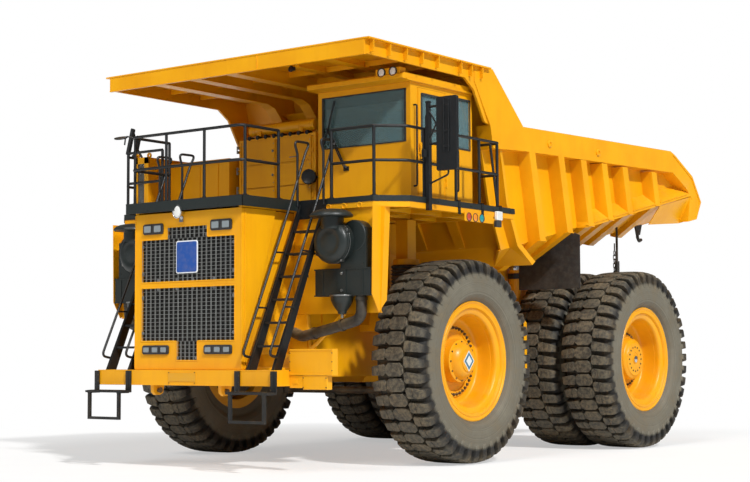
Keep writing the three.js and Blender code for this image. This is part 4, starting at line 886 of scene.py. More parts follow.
class BuildGrille(bpy.types.Operator):
    """Builds the radiator's wire mesh, its lamps and the blank plate"""
    bl_idname = "truck.grille"
    bl_label = "Radiator grille"

    def mesh(self):
        """Woven wire: upright wires in close pairs over single level wires, in a flat frame."""
        size = bpy.context.scene.truck_grille
        bm = bmesh.new()
        for half, low, high in OPENINGS:
            columns = max(1, round(2 * half * MM / size.column))
            for column in range(columns + 1):
                x = -half + 2 * half * column / columns
                for offset in (-0.5, 0.5):
                    shift = offset * size.pair / MM
                    if abs(x + shift) < half:
                        rod(bm, at(x + shift, -3290, low), at(x + shift, -3290, high), size.wire, 6)
            rows = round((high - low) * MM / size.row)
            for row in range(rows + 1):
                z = low + (high - low) * row / rows
                rod(bm, at(-half, -3282, z), at(half, -3282, z), size.wire * 0.9, 6)
        finished("radiator_mesh", bm, "chromed_rod", bright_steel("galvanised_mesh_wire", "#C9CBC8", 0.4))

    def core(self):
        """The dark radiator core behind the mesh, with its fin rows."""
        bm = bmesh.new()
        for half, low, high in OPENINGS:
            block(bm, (-half + 2, half - 2), (-3266, -3264.6), (low + 1, high - 1))
            rows = int((high - low) / 26)
            for row in range(rows):
                z = low + 13 + 26 * row
                block(bm, (-half + 6, half - 6), (-3270, -3265), (z - 2, z + 2))
        finished("radiator_core", bm, "black_paint", machinery_paint("radiator_core_black",
                                                                     linear("#0B0A09"), 0.7, 0.1, "#1A1816"))

    def fixings(self):
        """Round-headed screws along the mesh edges."""
        bm = bmesh.new()
        places = [(x, 2725) for x in (-590, -210, 110, 520)] + [(x, 2598) for x in (-590, -210, 110, 520)]
        places += [(s * 900, z) for s in (-1, 1) for z in (2830, 3230, 1960, 2480)]
        places += [(s * 375, z) for s in (-1, 1) for z in (3360, 3470)]
        places += [(s * 185, 1600) for s in (-1, 1)]
        for x, z in places:
            rod(bm, at(x, -3288, z), at(x, -3298, z), 0.024, 16)
            rod(bm, at(x, -3298, z), at(x, -3304, z), 0.013, 8)
        finished("mesh_screws", bm, "chromed_rod", bright_steel(), smooth=30)

    def lamps(self):
        """Twin lamps high on the hood and triple lamps low on it."""
        housing, glass, rims = bmesh.new(), bmesh.new(), bmesh.new()
        for side in (-1, 1):
            for inner, outer, middle, half, number in ((474, 880, 3484, 78, 2), (352, 884, 1716, 66, 3)):
                centre = side * (inner + outer) / 2
                wide = (outer - inner) / 2
                rounded_panel(housing, at(centre, HOOD_FACE - 26, middle), wide * MM, half * MM, 0.0262,
                              0.034)
                pitch = 2 * wide / number
                for lamp in range(number):
                    x = centre - wide + pitch * (lamp + 0.5)
                    w = pitch / 2 - 34
                    rounded_panel(rims, at(x, HOOD_FACE - 33, middle), (w + 9) * MM, (half - 22) * MM,
                                  0.0085, 0.02)
                    rounded_panel(glass, at(x, HOOD_FACE - 37, middle), w * MM, (half - 31) * MM, 0.006,
                                  0.014)
        finished("lamp_housings", housing, "cab_trim", moulded_plastic("glass_filled_nylon", "#191513"),
                 bevel=0.004)
        finished("lamp_bezels", rims, "chromed_rod", bright_steel("die_cast_lamp_bezel", "#6E6C6A", 0.35))
        finished("lamp_lenses", glass, "tinted_glass", lamp_lens("headlamp_lens", "#7D8588"), bevel=0.002)

    def plates(self):
        """The blank plate: a blue one with a white border on the mesh."""
        bm = bmesh.new()
        rounded_panel(bm, at(0, -3309, 3052), 0.215, 0.236, 0.012, 0.035)
        finished("blank_plate_border", bm, "cab_trim", flat_enamel("white_plate_enamel", linear("#E9ECEF")),
                 bevel=0.003)
        bm = bmesh.new()
        rounded_panel(bm, at(0, -3313, 3052), 0.198, 0.219, 0.006, 0.026)
        finished("blank_plate", bm, "cab_trim", flat_enamel("blue_plate_enamel", paint().plate), bevel=0.002)

    def work_lamp(self):
        """The round chromed lamp that stands on the hood's top edge."""
        bm = bmesh.new()
        centre = at(-112, -3352, 3712)
        turned(bm, [(-0.075, 0.0), (-0.068, 0.035), (-0.045, 0.066), (-0.012, 0.086), (0.02, 0.094),
                    (0.034, 0.101), (0.048, 0.101), (0.052, 0.092), (0.046, 0.086), (0.040, 0.04),
                    (0.040, 0.0)], centre, (-0.1, -1, -0.05), 40)
        rod(bm, centre + Vector((0, 0.03, -0.06)), at(-112, -3305, 3600), 0.012, 10)
        block(bm, (-150, -74), (-3312, -3300), (3560, 3640))
        finished("work_lamp", bm, "chromed_rod")
        bm = bmesh.new()
        turned(bm, [(0.042, 0.0), (0.042, 0.084), (0.050, 0.082), (0.058, 0.05), (0.061, 0.0)],
               centre, (-0.1, -1, -0.05), 32)
        finished("work_lamp_lens", bm, "tinted_glass", lamp_lens())

    def seams(self):
        """Raised edge frames round the two mesh fields and down the hood's corners."""
        bm = bmesh.new()
        upper = [(-930, 2700), (930, 2700), (930, 3330), (400, 3330), (400, 3500), (-400, 3500),
                 (-400, 3330), (-930, 3330)]
        lower = [(-930, 2620), (-930, 1840), (-210, 1840), (-210, 1560), (210, 1560), (210, 1840),
                 (930, 1840), (930, 2620)]
        for ring in (upper, lower):
            for (x0, z0), (x1, z1) in zip(ring, ring[1:] + ring[:1]):
                block(bm, (x0 - 9 if x0 == x1 else x0, x1 + 9 if x0 == x1 else x1), (-3306, -3299.8),
                      (z0 - 9 if z0 == z1 else z0, z1 + 9 if z0 == z1 else z1))
        for side in (-1, 1):
            block(bm, (1052, 1063), (-3307, -3250), (1440, 3700), side)
            block(bm, (1060.2, 1068), (-3246, -3212), (1440, 3700), side)
        finished("hood_edges", bm, "yellow_enamel", bevel=0.003)

    def execute(self, context):
        self.mesh()
        self.core()
        self.fixings()
        self.lamps()
        self.plates()
        self.work_lamp()
        self.seams()
        return {"FINISHED"}


# ---------------------------------------------------------------- handrails, ladders and steps

DECK_TOP = 3870
RAIL_X = 2830


class BuildHandrails(bpy.types.Operator):
    """Builds the deck's bent-tube handrails with their bolted posts"""
    bl_idname = "truck.handrails"
    bl_label = "Handrails"

    def foot(self, bm, x, y):
        """A flat foot bolted on the deck beside a post."""
        block(bm, (x - 48, x + 48), (y - 34, y + 34), (DECK_TOP + 0.4, DECK_TOP + 14))
        for step in (-1, 1):
            hexagon_bolt(bm, at(x + step * 30, y, DECK_TOP + 14), (0, 0, 1), 0.012, 0.014)

    def front(self):
        tube = bpy.context.scene.truck_tubes
        bm = bmesh.new()
        x, y, back = 1100, -3350, -2560
        for z in (4870, 4380):
            pipe(bm, spots([(-x, back, z), (-x, y, z), (x, y, z), (x, back, z)]), tube.rail, tube.bend,
                 tube.sides)
        for px, py in ((-x, back), (x, back), (-x, y + 70), (x, y + 70), (-380, y), (380, y)):
            pipe(bm, [at(px, py, DECK_TOP), at(px, py, 4870)], tube.rail, 0, tube.sides)
            self.foot(bm, px, py)
        # The small round mirror on its bent arm at the right-hand corner.
        pipe(bm, spots([(-x, y + 40, 4870), (-x - 70, y - 60, 4900), (-x - 60, y - 90, 4760)]), 0.012, 0.04,
             8)
        turned(bm, [(-0.012, 0.0), (-0.012, 0.085), (0.0, 0.105), (0.012, 0.10), (0.012, 0.0)],
               at(-x - 160, y - 70, 4872), (0.1, -0.3, 1), 24)
        finished("front_handrail", bm, "black_paint", replaces=["handrail_front"])

    def side(self, hand, sign):
        tube = bpy.context.scene.truck_tubes
        bm = bmesh.new()
        line = [(1710, -2100), (2480, -2100), (RAIL_X, -1770), (RAIL_X, 640), (2480, 640)]
        for z in (4870, 4380):
            pipe(bm, [at(sign * x, y, z) for x, y in line], tube.rail, tube.bend, tube.sides)
        for px, py in ((1710, -2100), (2480, -2100), (RAIL_X, -1370), (RAIL_X, -560), (RAIL_X, 60),
                       (RAIL_X, 560)):
            pipe(bm, [at(sign * px, py, DECK_TOP), at(sign * px, py, 4870)], tube.rail * 1.08, 0, tube.sides)
            self.foot(bm, sign * px, py)
            # The post's strap runs down over the deck edge and is bolted through it.
            if px == RAIL_X:
                block(bm, (2881, 2893), (py - 30, py + 30), (3690, 3895), sign)
                block(bm, (2850, 2893), (py - 30, py + 30), (3884, 3896), sign)
                for z in (3725, 3790):
                    hexagon_bolt(bm, at(sign * 2893, py, z), (sign, 0, 0), 0.013, 0.014)
        pipe(bm, [at(sign * RAIL_X, 560, 3900), at(sign * (RAIL_X - 8), 380, 4840)], tube.rail * 0.9, 0,
             tube.sides)
        finished("side_handrail_" + hand, bm, "black_paint", replaces=["handrail_" + hand])

    def execute(self, context):
        self.front()
        self.side("left", 1)
        self.side("right", -1)
        return {"FINISHED"}


class BuildLadders(bpy.types.Operator):
    """Builds the boarding ladders with their handrails and the hanging steps"""
    bl_idname = "truck.ladders"
    bl_label = "Ladders and steps"

    FOOT = (-3315.0, 1426.3)
    HEAD = (-2210.0, 3730.0)

    def lean(self, z):
        share = (z - self.FOOT[1]) / (self.HEAD[1] - self.FOOT[1])
        return self.FOOT[0] + (self.HEAD[0] - self.FOOT[0]) * share

    def stringer(self, bm, x):
        """A folded channel: a web with two flanges that lean with the ladder."""
        low, high = self.FOOT[1], self.HEAD[1] + 90
        deep = 190
        profile = [(self.lean(low), low), (self.lean(low) + deep, low), (-2151, self.HEAD[1] - 40),
                   (-2151, high), (self.lean(high) - 6, high)]
        plate(bm, [at(x - 6, y, z) for y, z in profile], (0.012, 0, 0))
        plate(bm, [at(x - 22, y, z) for y, z in ((self.lean(low), low), (self.lean(low) + 13, low),
                                                 (self.lean(high) + 8, high), (self.lean(high) - 6, high))],
              (0.044, 0, 0))

    def execute(self, context):
        tube = bpy.context.scene.truck_tubes
        for hand, sign in (("left", 1), ("right", -1)):
            bm = bmesh.new()
            for x in (1180, 1640):
                self.stringer(bm, sign * x)
            z = self.FOOT[1] + 330
            while z < self.HEAD[1]:
                y = self.lean(z)
                # An open tread: two side bars, a serrated nosing and cross bars.
                for low, high in ((y + 20, y + 32), (y + 86, y + 94), (y + 158, y + 170)):
                    block(bm, (sign * 1410 - 212, sign * 1410 + 212), (low, high), (z - 16, z + 16))
                for bar in range(13):
                    x = sign * 1410 - 204 + 34 * bar
                    block(bm, (x - 2.5, x + 2.5), (y + 30, y + 160), (z - 12, z + 13))
                z += 330
            for x in (1180, 1640):
                out = 36 if x == 1640 else -36
                side = sign * (x + out * 0.4)
                pipe(bm, spots([(side, self.lean(1600) + 10, 1600), (side, self.lean(1600) - 170, 1630),
                                (side, self.lean(3800) - 200, 3800), (side, self.lean(4560) - 215, 4600),
                                (side, self.lean(4700) - 190, 4745), (side, -2290, 4740),
                                (side, -2215, 4560), (side, -2215, 3790)]), tube.rail * 0.86, 0.075,
                     tube.sides)
                for z in (2300, 3100):
                    pipe(bm, [at(side, self.lean(z) - 180, z), at(side, self.lean(z) + 30, z)], 0.013, 0, 8)
                    block(bm, (side - 9, side + 9), (self.lean(z) + 6, self.lean(z) + 66), (z - 22, z + 22))
            # The bolted head plate on the deck's edge.
            block(bm, (sign * 1410 - 250, sign * 1410 + 250), (-2170, -2151), (3600, 3870))
            for x in (-205, -70, 70, 205):
                for z in (3640, 3830):
                    hexagon_bolt(bm, at(sign * 1410 + x, -2170, z), (0, -1, 0), 0.016, 0.014)
            finished("boarding_ladder_" + hand, bm, "black_paint", replaces=["ladder_" + hand])
        return {"FINISHED"}


# ---------------------------------------------------------------- mirrors

class BuildMirrors(bpy.types.Operator):
    """Builds the mirrors on their braced posts"""
    bl_idname = "truck.mirrors"
    bl_label = "Mirrors"

    def execute(self, context):
        bm = bmesh.new()
        block(bm, (2876, 2946), (-1406, -1336), (3690, 5060))
        block(bm, (2884, 2938), (-1398, -1344), (5050, 5250))
        block(bm, (2876, 2946), (-1406, -1336), (5240, 5262))
        for z in (5180, 4640):
            pipe(bm, spots([(2920, -1371, z), (3090, -1380, z), (3250, -1400, z + 20)]), 0.018, 0.04, 10)
        pipe(bm, [at(2930, -1371, 4700), at(3180, -1385, 5150)], 0.013, 0.0, 8)
        pipe(bm, [at(2930, -1371, 5120), at(3180, -1385, 4720)], 0.013, 0.0, 8)
        rounded_panel(bm, at(3262, -1424, 4770), 0.178, 0.530, 0.052, 0.03)
        rounded_panel(bm, at(3272, -1427, 5170), 0.060, 0.110, 0.012, 0.03)
        for x in (3222, 3302):
            rod(bm, at(x, -1434, 4500), at(x, -1434, 5260), 0.011, 8)
        for z in (4580, 4800, 5180):
            block(bm, (3208, 3316), (-1438, -1422), (z - 16, z + 16))
        pipe(bm, spots([(3262, -1380, 4270), (3262, -1380, 4180), (2900, -1372, 4060)]), 0.014, 0.08, 10)
        rounded_panel(bm, at(2905, -1500, 4500), 0.030, 0.05, 0.05, 0.012)
        finished("mirror_post_left", bm, "black_paint", replaces=["mirror_left"], bevel=0.005)
        bm = bmesh.new()
        rounded_panel(bm, at(3262, -1371, 4920), 0.160, 0.340, 0.004, 0.024)
        rounded_panel(bm, at(3262, -1371, 4380), 0.160, 0.120, 0.004, 0.024)
        finished("mirror_glass_left", bm, "chromed_rod", bright_steel("silvered_mirror_glass", "#D2D8DA",
                                                                      0.12))
        bm = bmesh.new()
        block(bm, (-2946, -2876), (-1406, -1336), (3690, 4560))
        pipe(bm, spots([(-2911, -1371, 4540), (-2911, -1371, 4900), (-3020, -1380, 5060), (-3120, -1390,
                                                                                           5400)]), 0.020,
             0.10, 10)
        pipe(bm, spots([(-2960, -1371, 4700), (-3030, -1380, 4960), (-3040, -1385, 5250)]), 0.014, 0.06, 8)
        pipe(bm, [at(-2911, -1371, 4880), at(-3140, -1385, 4960)], 0.014, 0.0, 8)
        tilt = Matrix.Rotation(math.radians(16), 3, "Y")
        for x, z, high in ((-3160, 5190, 0.225), (-3010, 5080, 0.20)):
            made = rounded_panel(bm, at(x, -1424, z), 0.085, high, 0.045, 0.03)
            bmesh.ops.rotate(bm, cent=at(x, -1400, z), matrix=tilt @ Matrix.Rotation(math.radians(-30), 3,
                                                                                     "Z"), verts=made)
        finished("mirror_post_right", bm, "black_paint", replaces=["mirror_right"], bevel=0.005)
        return {"FINISHED"}


# ---------------------------------------------------------------- air cleaners

class BuildAirCleaners(bpy.types.Operator):
    """Builds the engine's air cleaners with their dust cups and rain caps"""
    bl_idname = "truck.air_cleaners"
    bl_label = "Air cleaners"

    def execute(self, context):
        for hand, sign in (("left", 1), ("right", -1)):
            bm = bmesh.new()
            face = Vector((sign * 1.975, -AXLE_SHIFT, 3.22))
            forward = (0, -1, 0)
            turned(bm, [(2.111, 0.0), (2.111, 0.290), (2.140, 0.300), (2.395, 0.300), (2.400, 0.307),
                        (2.425, 0.307), (2.430, 0.300), (2.462, 0.297), (2.492, 0.272), (2.508, 0.235),
                        (2.514, 0.190), (2.508, 0.178), (2.512, 0.120), (2.519, 0.05), (2.520, 0.0)], face,
                   forward, 56)
            block(bm, (2020, 2480), (-2290, -2111), (2840, 3420), sign)
            turned(bm, [(2.113, 0.0), (2.113, 0.2275), (2.282, 0.2275), (2.296, 0.214), (2.296, 0.0)],
                   Vector((sign * 2.252, -AXLE_SHIFT, 3.302)), forward, 40)
            block(bm, (1560, 2560), (-2290, -2111), (2470, 2842), sign)
            block(bm, (1546, 2568), (-2300, -2111), (2834, 2852), sign)
            block(bm, (1546, 2568), (-2300, -2111), (2462, 2480), sign)
            block(bm, (1975, 2125), (-2302, -2286), (2482, 2834), sign)
            for x in (1700, 2420):
                block(bm, (sign * x - 9, sign * x + 9), (-2298, -2286), (2482, 2834))
            turned(bm, [(2.480, 0.0), (2.480, 0.170), (2.462, 0.174), (2.452, 0.166), (2.400, 0.160),
                        (2.330, 0.128), (2.262, 0.080), (2.240, 0.064), (2.214, 0.060), (2.206, 0.050),
                        (2.202, 0.0)], at(sign * 2050, -2290, 0), (0, 0, 1), 40)
            turned(bm, [(3.400, 0.150), (3.560, 0.150), (3.570, 0.170), (3.580, 0.270), (3.574, 0.304),
                        (3.584, 0.310), (3.606, 0.306), (3.640, 0.272), (3.664, 0.215), (3.682, 0.130),
                        (3.690, 0.050), (3.690, 0.0)], at(sign * 1990, -2450, 0), (0, 0, 1), 56)
            rod(bm, at(sign * 1990, -2440, 3420), at(sign * 1990, -2400, 3572), 0.150, 32)
            for z in (2920, 3060, 3200, 3340):
                hexagon_bolt(bm, at(sign * 2430, -2290, z), forward, 0.013, 0.012)
            finished("air_cleaner_body_" + hand, bm, "grey_paint", replaces=["air_cleaner_" + hand],
                     bevel=0.008)
            bm = bmesh.new()
            turned(bm, [(2.380, 0.3005), (2.380, 0.308), (2.394, 0.308), (2.394, 0.3005), (2.380, 0.3005)],
                   face, forward, 56)
            for angle in (0.5, 2.1, 3.7, 5.3):
                out = Vector((math.cos(angle), 0, math.sin(angle)))
                spot = face + Vector((0, -2.410, 0)) + out * 0.316
                box(bm, spot - Vector((0.016, 0.03, 0.016)), spot + Vector((0.016, 0.03, 0.016)))
            for z in (2540, 2780):
                rod(bm, at(sign * 2050, -2300, z), at(sign * 2050, -2312, z), 0.022, 16)
            rod(bm, at(sign * 2050, -2290, 2210), at(sign * 2050, -2290, 2150), 0.022, 16)
            turned(bm, [(2.455, 0.172), (2.455, 0.180), (2.475, 0.180), (2.475, 0.172), (2.455, 0.172)],
                   at(sign * 2050, -2290, 0), (0, 0, 1), 40)
            finished("air_cleaner_band_" + hand, bm, "chromed_rod", bright_steel(), bevel=0.003)
        return {"FINISHED"}


# ---------------------------------------------------------------- deck

DECK_EDGE = [(1150, -3400), (1150, -2150), (2500, -2150), (2880, -1790), (2880, 960)]  # the left half


class BuildDeck(bpy.types.Operator):
    """Builds the walking deck, its edge beams, the sheets below it and the lamps on its edge"""
    bl_idname = "truck.deck"
    bl_label = "Deck"

    def band(self, bm, line, low, high, thick, out):
        """An upright band along the deck's edge, proud of it by out."""
        for (x0, y0), (x1, y1) in zip(line, line[1:]):
            along = Vector((x1 - x0, y1 - y0, 0)).normalized()
            side = Vector((along.y, -along.x, 0))
            corners = [Vector((x0, y0, 0)) - along * out, Vector((x1, y1, 0)) + along * out]
            outline = [corners[0] + side * out, corners[1] + side * out,
                       corners[1] + side * (out - thick), corners[0] + side * (out - thick)]
            plate(bm, [at(p.x, p.y, low) for p in outline], (0, 0, (high - low) * MM))

    def execute(self, context):
        ring = DECK_EDGE
        bm = bmesh.new()
        plate(bm, [at(x, y, 3858) for x, y in ring + [(-x, y) for x, y in reversed(ring)]], (0, 0, 0.012))
        finished("deck_tread_plate", bm, "grey_paint", tread_plate(), replaces=["deck"])

        bm = bmesh.new()
        for mirror in (1, -1):
            line = [(mirror * x, y) for x, y in ring]
            nose = [(0, -3400)] + line[:2]
            wing = line[1:] + [(mirror * 1900, 960)]
            for path, low in ((nose, 3722), (wing, 3792)):
                self.band(bm, path if mirror > 0 else path[::-1], low, 3876, 16, 8)
        for x in (-700, 0, 700):
            hexagon_bolt(bm, at(x, -3408, 3760), (0, -1, 0), 0.014, 0.012)
        for mirror in (1, -1):
            for y in (-1100, -250, 350, 850):
                hexagon_bolt(bm, at(mirror * 2888, y, 3830), (mirror, 0, 0), 0.014, 0.012)
        finished("deck_edge_band", bm, "grey_paint", bevel=0.003)

        bm = bmesh.new()
        for mirror in (1, -1):
            line = [(mirror * x, y) for x, y in ring[1:]]
            self.band(bm, line if mirror > 0 else line[::-1], 3712, 3792, 90, 0)
            for y in (-1500, -700, 100, 800):
                block(bm, (900, 2800), (y - 30, y + 30), (3730, 3857), mirror)
            for x in (1500, 2100):
                block(bm, (mirror * x - 30, mirror * x + 30), (-2060, 900), (3735, 3857))
            block(bm, (1000, 1060), (-3300, 900), (3715, 3857), mirror)
        # The beam under the cab's corner has three round holes; a ring marks each.
        for x in (1700, 1980, 2260):
            turned(bm, [(0.0, 0.030), (0.0, 0.044), (0.010, 0.044), (0.010, 0.030), (0.0, 0.030)],
                   at(x, -2150, 3752), (0, -1, 0), 20)
        finished("deck_edge_beam", bm, "yellow_enamel", bevel=0.004)
        self.sheets()
        self.edge_lamps()
        return {"FINISHED"}

    def sheets(self):
        """The sheets that hang from the deck behind the ladders, with their cheeks, legs and braces."""
        bm = bmesh.new()
        for mirror in (1, -1):
            def spot(x, y, z):
                return at(mirror * x, y, z)
            plate(bm, [spot(1010, -2110, 2220), spot(2600, -2110, 2220), spot(2680, -2110, 3712),
                       spot(1010, -2110, 3712)], (0, 0.012, 0))
            plate(bm, [spot(2580, -2150, 2225), spot(2580, -1960, 2400), spot(2600, -1900, 3712),
                       spot(2600, -2300, 3712), spot(2580, -2300, 2480)], (mirror * 0.014, 0, 0))
            for z in (2222, 3000):
                plate(bm, [spot(1010, -2098, z), spot(2590, -2098, z), spot(2590, -2060, z),
                           spot(1010, -2060, z)], (0, 0, 0.010))
            block(bm, (1003, 1257), (-2116, -1994), (1464, 2216), mirror)
            block(bm, (823, 1001), (-2106, -1996), (1464, 1976), mirror)
            pipe(bm, [spot(1236, -2080, 2240), spot(1306, -2080, 1715), spot(1928, -2080, 2226)], 0.036,
                 0.03, 8)
            plate(bm, [spot(1226, -2090, 1860), spot(1270, -2090, 1640), spot(1400, -2090, 1700),
                       spot(1440, -2090, 1860), spot(1306, -2090, 1760)], (0, 0.012, 0))
        finished("deck_sheets", bm, "yellow_enamel", bevel=0.003)
        bm = bmesh.new()
        for mirror in (1, -1):
            # The intake duct swings from the cleaner's back, down and in to the engine.
            pipe(bm, [at(mirror * x, y, z) for x, y, z in ((2330, -2205, 2466), (2330, -2205, 2130),
                                                           (1700, -2195, 1990), (1200, -2150, 1900),
                                                           (1016, -2120, 1960))], 0.078, 0.18, 20)
            for x, y, z in ((2330, -2205, 2420), (1980, -2201, 2052), (1440, -2170, 1942)):
                turned(bm, [(-0.022, 0.077), (-0.022, 0.088), (0.022, 0.088), (0.022, 0.077),
                            (-0.022, 0.077)], at(mirror * x, y, z), (0, 0, 1) if z > 2200 else (mirror, 0,
                                                                                                0.2), 20)
        finished("intake_ducts", bm, "flap_rubber", moulded_rubber("hose_rubber", "#100F0E", 0.5), smooth=50)

    def edge_lamps(self):
        """The side lamp box with its three reflectors and the white lamp, on the deck's left edge."""
        bm = bmesh.new()
        block(bm, (2880, 2904), (-440, 330), (3600, 3728))
        finished("side_lamp_box", bm, "yellow_enamel", bevel=0.006)
        for name, y, code in (("red", -335, "#A8402C"), ("amber", -165, "#CC7A1E"), ("teal", 10, "#1F7F86")):
            bm = bmesh.new()
            turned(bm, [(0.0, 0.0), (0.0, 0.058), (0.004, 0.056), (0.008, 0.036), (0.010, 0.0)],
                   at(2905, y, 3664), (1, 0, 0), 28)
            finished("side_reflector_" + name, bm, "tinted_glass", lamp_lens("reflector_" + name, code),
                     smooth=60)
        bm = bmesh.new()
        for y in (-335, -165, 10):
            turned(bm, [(0.0, 0.059), (0.0, 0.068), (0.009, 0.066), (0.009, 0.059), (0.0, 0.059)],
                   at(2904.5, y, 3664), (1, 0, 0), 28)
        block(bm, (2884, 2902), (150, 310), (3612, 3716))
        block(bm, (2880, 2930), (380, 520), (3560, 3660))
        finished("side_lamp_rims", bm, "cab_trim", bevel=0.004)
        bm = bmesh.new()
        block(bm, (2884, 2940), (392, 540), (3664, 3800))
        finished("side_lamp", bm, "tinted_glass", lamp_lens(), bevel=0.010)


# ---------------------------------------------------------------- cab

CAB = {"left": 2420, "right": 670, "front": -1130, "rear": 490, "sill": 4770, "head": 5540}


class BuildCab(bpy.types.Operator):
    """Builds the cab's window rubbers, wiper, lamps, handles and the things inside"""
    bl_idname = "truck.cab"
    bl_label = "Cab fittings"

    def gasket(self, bm, outline, out, wide, thick):
        """A glazing rubber round a window: a strip inside an upright outline, proud by thick along out."""
        centre = sum((Vector(p) for p in outline), Vector()) / len(outline)
        inner = [Vector(p) + (centre - Vector(p)) * (wide / (centre - Vector(p)).length) * 1.3
                 for p in outline]
        for i in range(len(outline)):
            j = (i + 1) % len(outline)
            plate(bm, [outline[i], outline[j], inner[j], inner[i]], Vector(out) * thick)

    def execute(self, context):
        self.rubbers()
        self.wiper()
        self.roof()
        self.door()
        self.inside()
        return {"FINISHED"}

    def rubbers(self):
        bm = bmesh.new()
        front, left, rear, right = CAB["front"], CAB["left"], CAB["rear"], CAB["right"]
        low, high = CAB["sill"] - 12, CAB["head"] + 12
        for y, inset, out, wide in ((front, 78, -1, 0.030), (rear, 138, 1, 0.024)):
            x0, x1 = right + inset, left - inset
            self.gasket(bm, spots([(x0, y, low), (x1, y, low), (x1, y, high), (x0, y, high)]),
                        (0, out, 0), wide, 0.007)
        for x, y0, y1, out in ((right, front + 138, rear - 138, -1), (left, -120, rear - 50, 1)):
            self.gasket(bm, spots([(x, y0, low), (x, y1, low), (x, y1, high), (x, y0, high)]),
                        (out, 0, 0), 0.024, 0.007)
        finished("cab_glazing_rubbers", bm, "flap_rubber")
        bm = bmesh.new()
        block(bm, (right + 95, left - 95), (front + 30, front + 33), (high - 177, high - 16))
        finished("windscreen_sun_band", bm, "cab_trim", flat_enamel("screened_sun_band", linear("#16262F")))

    def wiper(self):
        bm = bmesh.new()
        pivot = at(1215, CAB["front"] - 14, 4450)
        turned(bm, [(-0.014, 0.0), (-0.014, 0.030), (0.012, 0.030), (0.026, 0.020), (0.028, 0.0)], pivot,
               (0, -1, 0), 20)
        elbow = at(890, CAB["front"] - 44, 5060)
        for offset in (-0.016, 0.016):
            pipe(bm, [pivot + Vector((offset, -0.02, 0)), elbow + Vector((offset, 0, 0))], 0.011, 0, 8)
        rod(bm, elbow - Vector((0.03, 0, 0)), elbow + Vector((0.03, 0, 0)), 0.018, 12)
        top = at(1010, CAB["front"] - 30, 5490)
        foot = at(800, CAB["front"] - 30, 4830)
        pipe(bm, [foot, elbow + Vector((0, 0.012, 0)), top], 0.013, 0.1, 8)
        plate(bm, [foot + Vector((-0.004, 0.008, 0)), top + Vector((-0.004, 0.008, 0)),
                   top + Vector((-0.004, 0.024, 0)), foot + Vector((-0.004, 0.024, 0))], (0.008, 0, 0))
        block(bm, (1170, 1270), (CAB["front"] - 13, CAB["front"]), (4405, 4470))
        # A round work lamp on an arm at the cab's inner corner.
        turned(bm, [(-0.10, 0.0), (-0.10, 0.06), (-0.06, 0.10), (0.0, 0.118), (0.05, 0.118), (0.056, 0.108),
                    (0.05, 0.10), (0.05, 0.0)], at(545, -1190, 4355), (0.3, -1, 0), 28)
        pipe(bm, spots([(672, -1100, 4355), (600, -1120, 4355), (556, -1150, 4355)]), 0.016, 0.03, 8)
        finished("windscreen_wiper", bm, "black_paint", smooth=50)

    def roof(self):
        front, left, rear, right = CAB["front"], CAB["left"], CAB["rear"], CAB["right"]
        bm = bmesh.new()
        # A rain gutter along each of the roof's sides, and the pressed ribs on the roof skin.
        block(bm, (left + 41, left + 53), (front - 150, rear + 36), (5646, 5672))
        block(bm, (right - 53, right - 41), (front - 150, rear + 36), (5646, 5672))
        for x in range(850, 2300, 290):
            block(bm, (x - 40, x + 40), (front + 60, rear - 40), (5754, 5764))
        for x in (left - 455, left - 55):
            hexagon_bolt(bm, at(x, front - 160, 5836), (0, 0, 1), 0.012, 0.008)
        finished("cab_roof_trim", bm, "yellow_enamel", bevel=0.004)
        rims, lenses = bmesh.new(), bmesh.new()
        for x in (2060, 2270):
            turned(rims, [(0.0, 0.0), (0.0, 0.070), (0.022, 0.070), (0.026, 0.060), (0.010, 0.056),
                          (0.006, 0.0)], at(x, -1345, 5775), (0, -1, 0), 28)
            turned(lenses, [(0.006, 0.0), (0.006, 0.055), (0.014, 0.054), (0.020, 0.03), (0.022, 0.0)],
                   at(x, -1345, 5775), (0, -1, 0), 24)
        finished("roof_lamp_rims", rims, "cab_trim", moulded_plastic("glass_filled_nylon", "#191513"))
        finished("roof_lamp_lenses", lenses, "tinted_glass", lamp_lens())

    def door(self):
        left = CAB["left"]
        bm = bmesh.new()
        y0, y1, low, high = -845, -335, CAB["sill"], CAB["head"] - 40
        self.gasket(bm, spots([(left, y0 - 8, low - 8), (left, y1 + 8, low - 8), (left, y1 + 8, high + 8),
                               (left, y0 - 8, high + 8)]), (1, 0, 0), 0.026, 0.006)
        finished("door_glazing_rubber", bm, "flap_rubber", body="cab_door")
        bm = bmesh.new()
        for z0, z1 in ((4020, 4420), (4470, 4700)):
            block(bm, (left, left + 5), (-880, -300), (z0, z1))
        block(bm, (left, left + 7), (-940, -912), (3975, 5565))
        block(bm, (left, left + 7), (-262, -240), (3975, 5565))
        finished("door_pressings", bm, "yellow_enamel", body="cab_door", bevel=0.003)
        bm = bmesh.new()
        block(bm, (left + 5, left + 14), (-915, -850), (4590, 4680))
        pipe(bm, spots([(left + 10, -900, 4610), (left + 52, -900, 4610), (left + 52, -900, 4500),
                        (left + 10, -900, 4500)]), 0.010, 0.02, 8)
        rod(bm, at(left + 12, -868, 4650), at(left + 22, -868, 4650), 0.016, 14)
        finished("door_handle", bm, "black_paint", body="cab_door", bevel=0.002)
        bm = bmesh.new()
        pipe(bm, spots([(left + 2, 20, 4100), (left + 62, 20, 4100), (left + 62, 20, 4720), (left + 2, 20,
                                                                                             4720)]), 0.014,
             0.05, 10)
        pipe(bm, spots([(left + 2, -1050, 4100), (left + 58, -1050, 4100), (left + 58, -1050, 5300),
                        (left + 2, -1050, 5300)]), 0.014, 0.05, 10)
        finished("cab_grab_rails", bm, "black_paint")

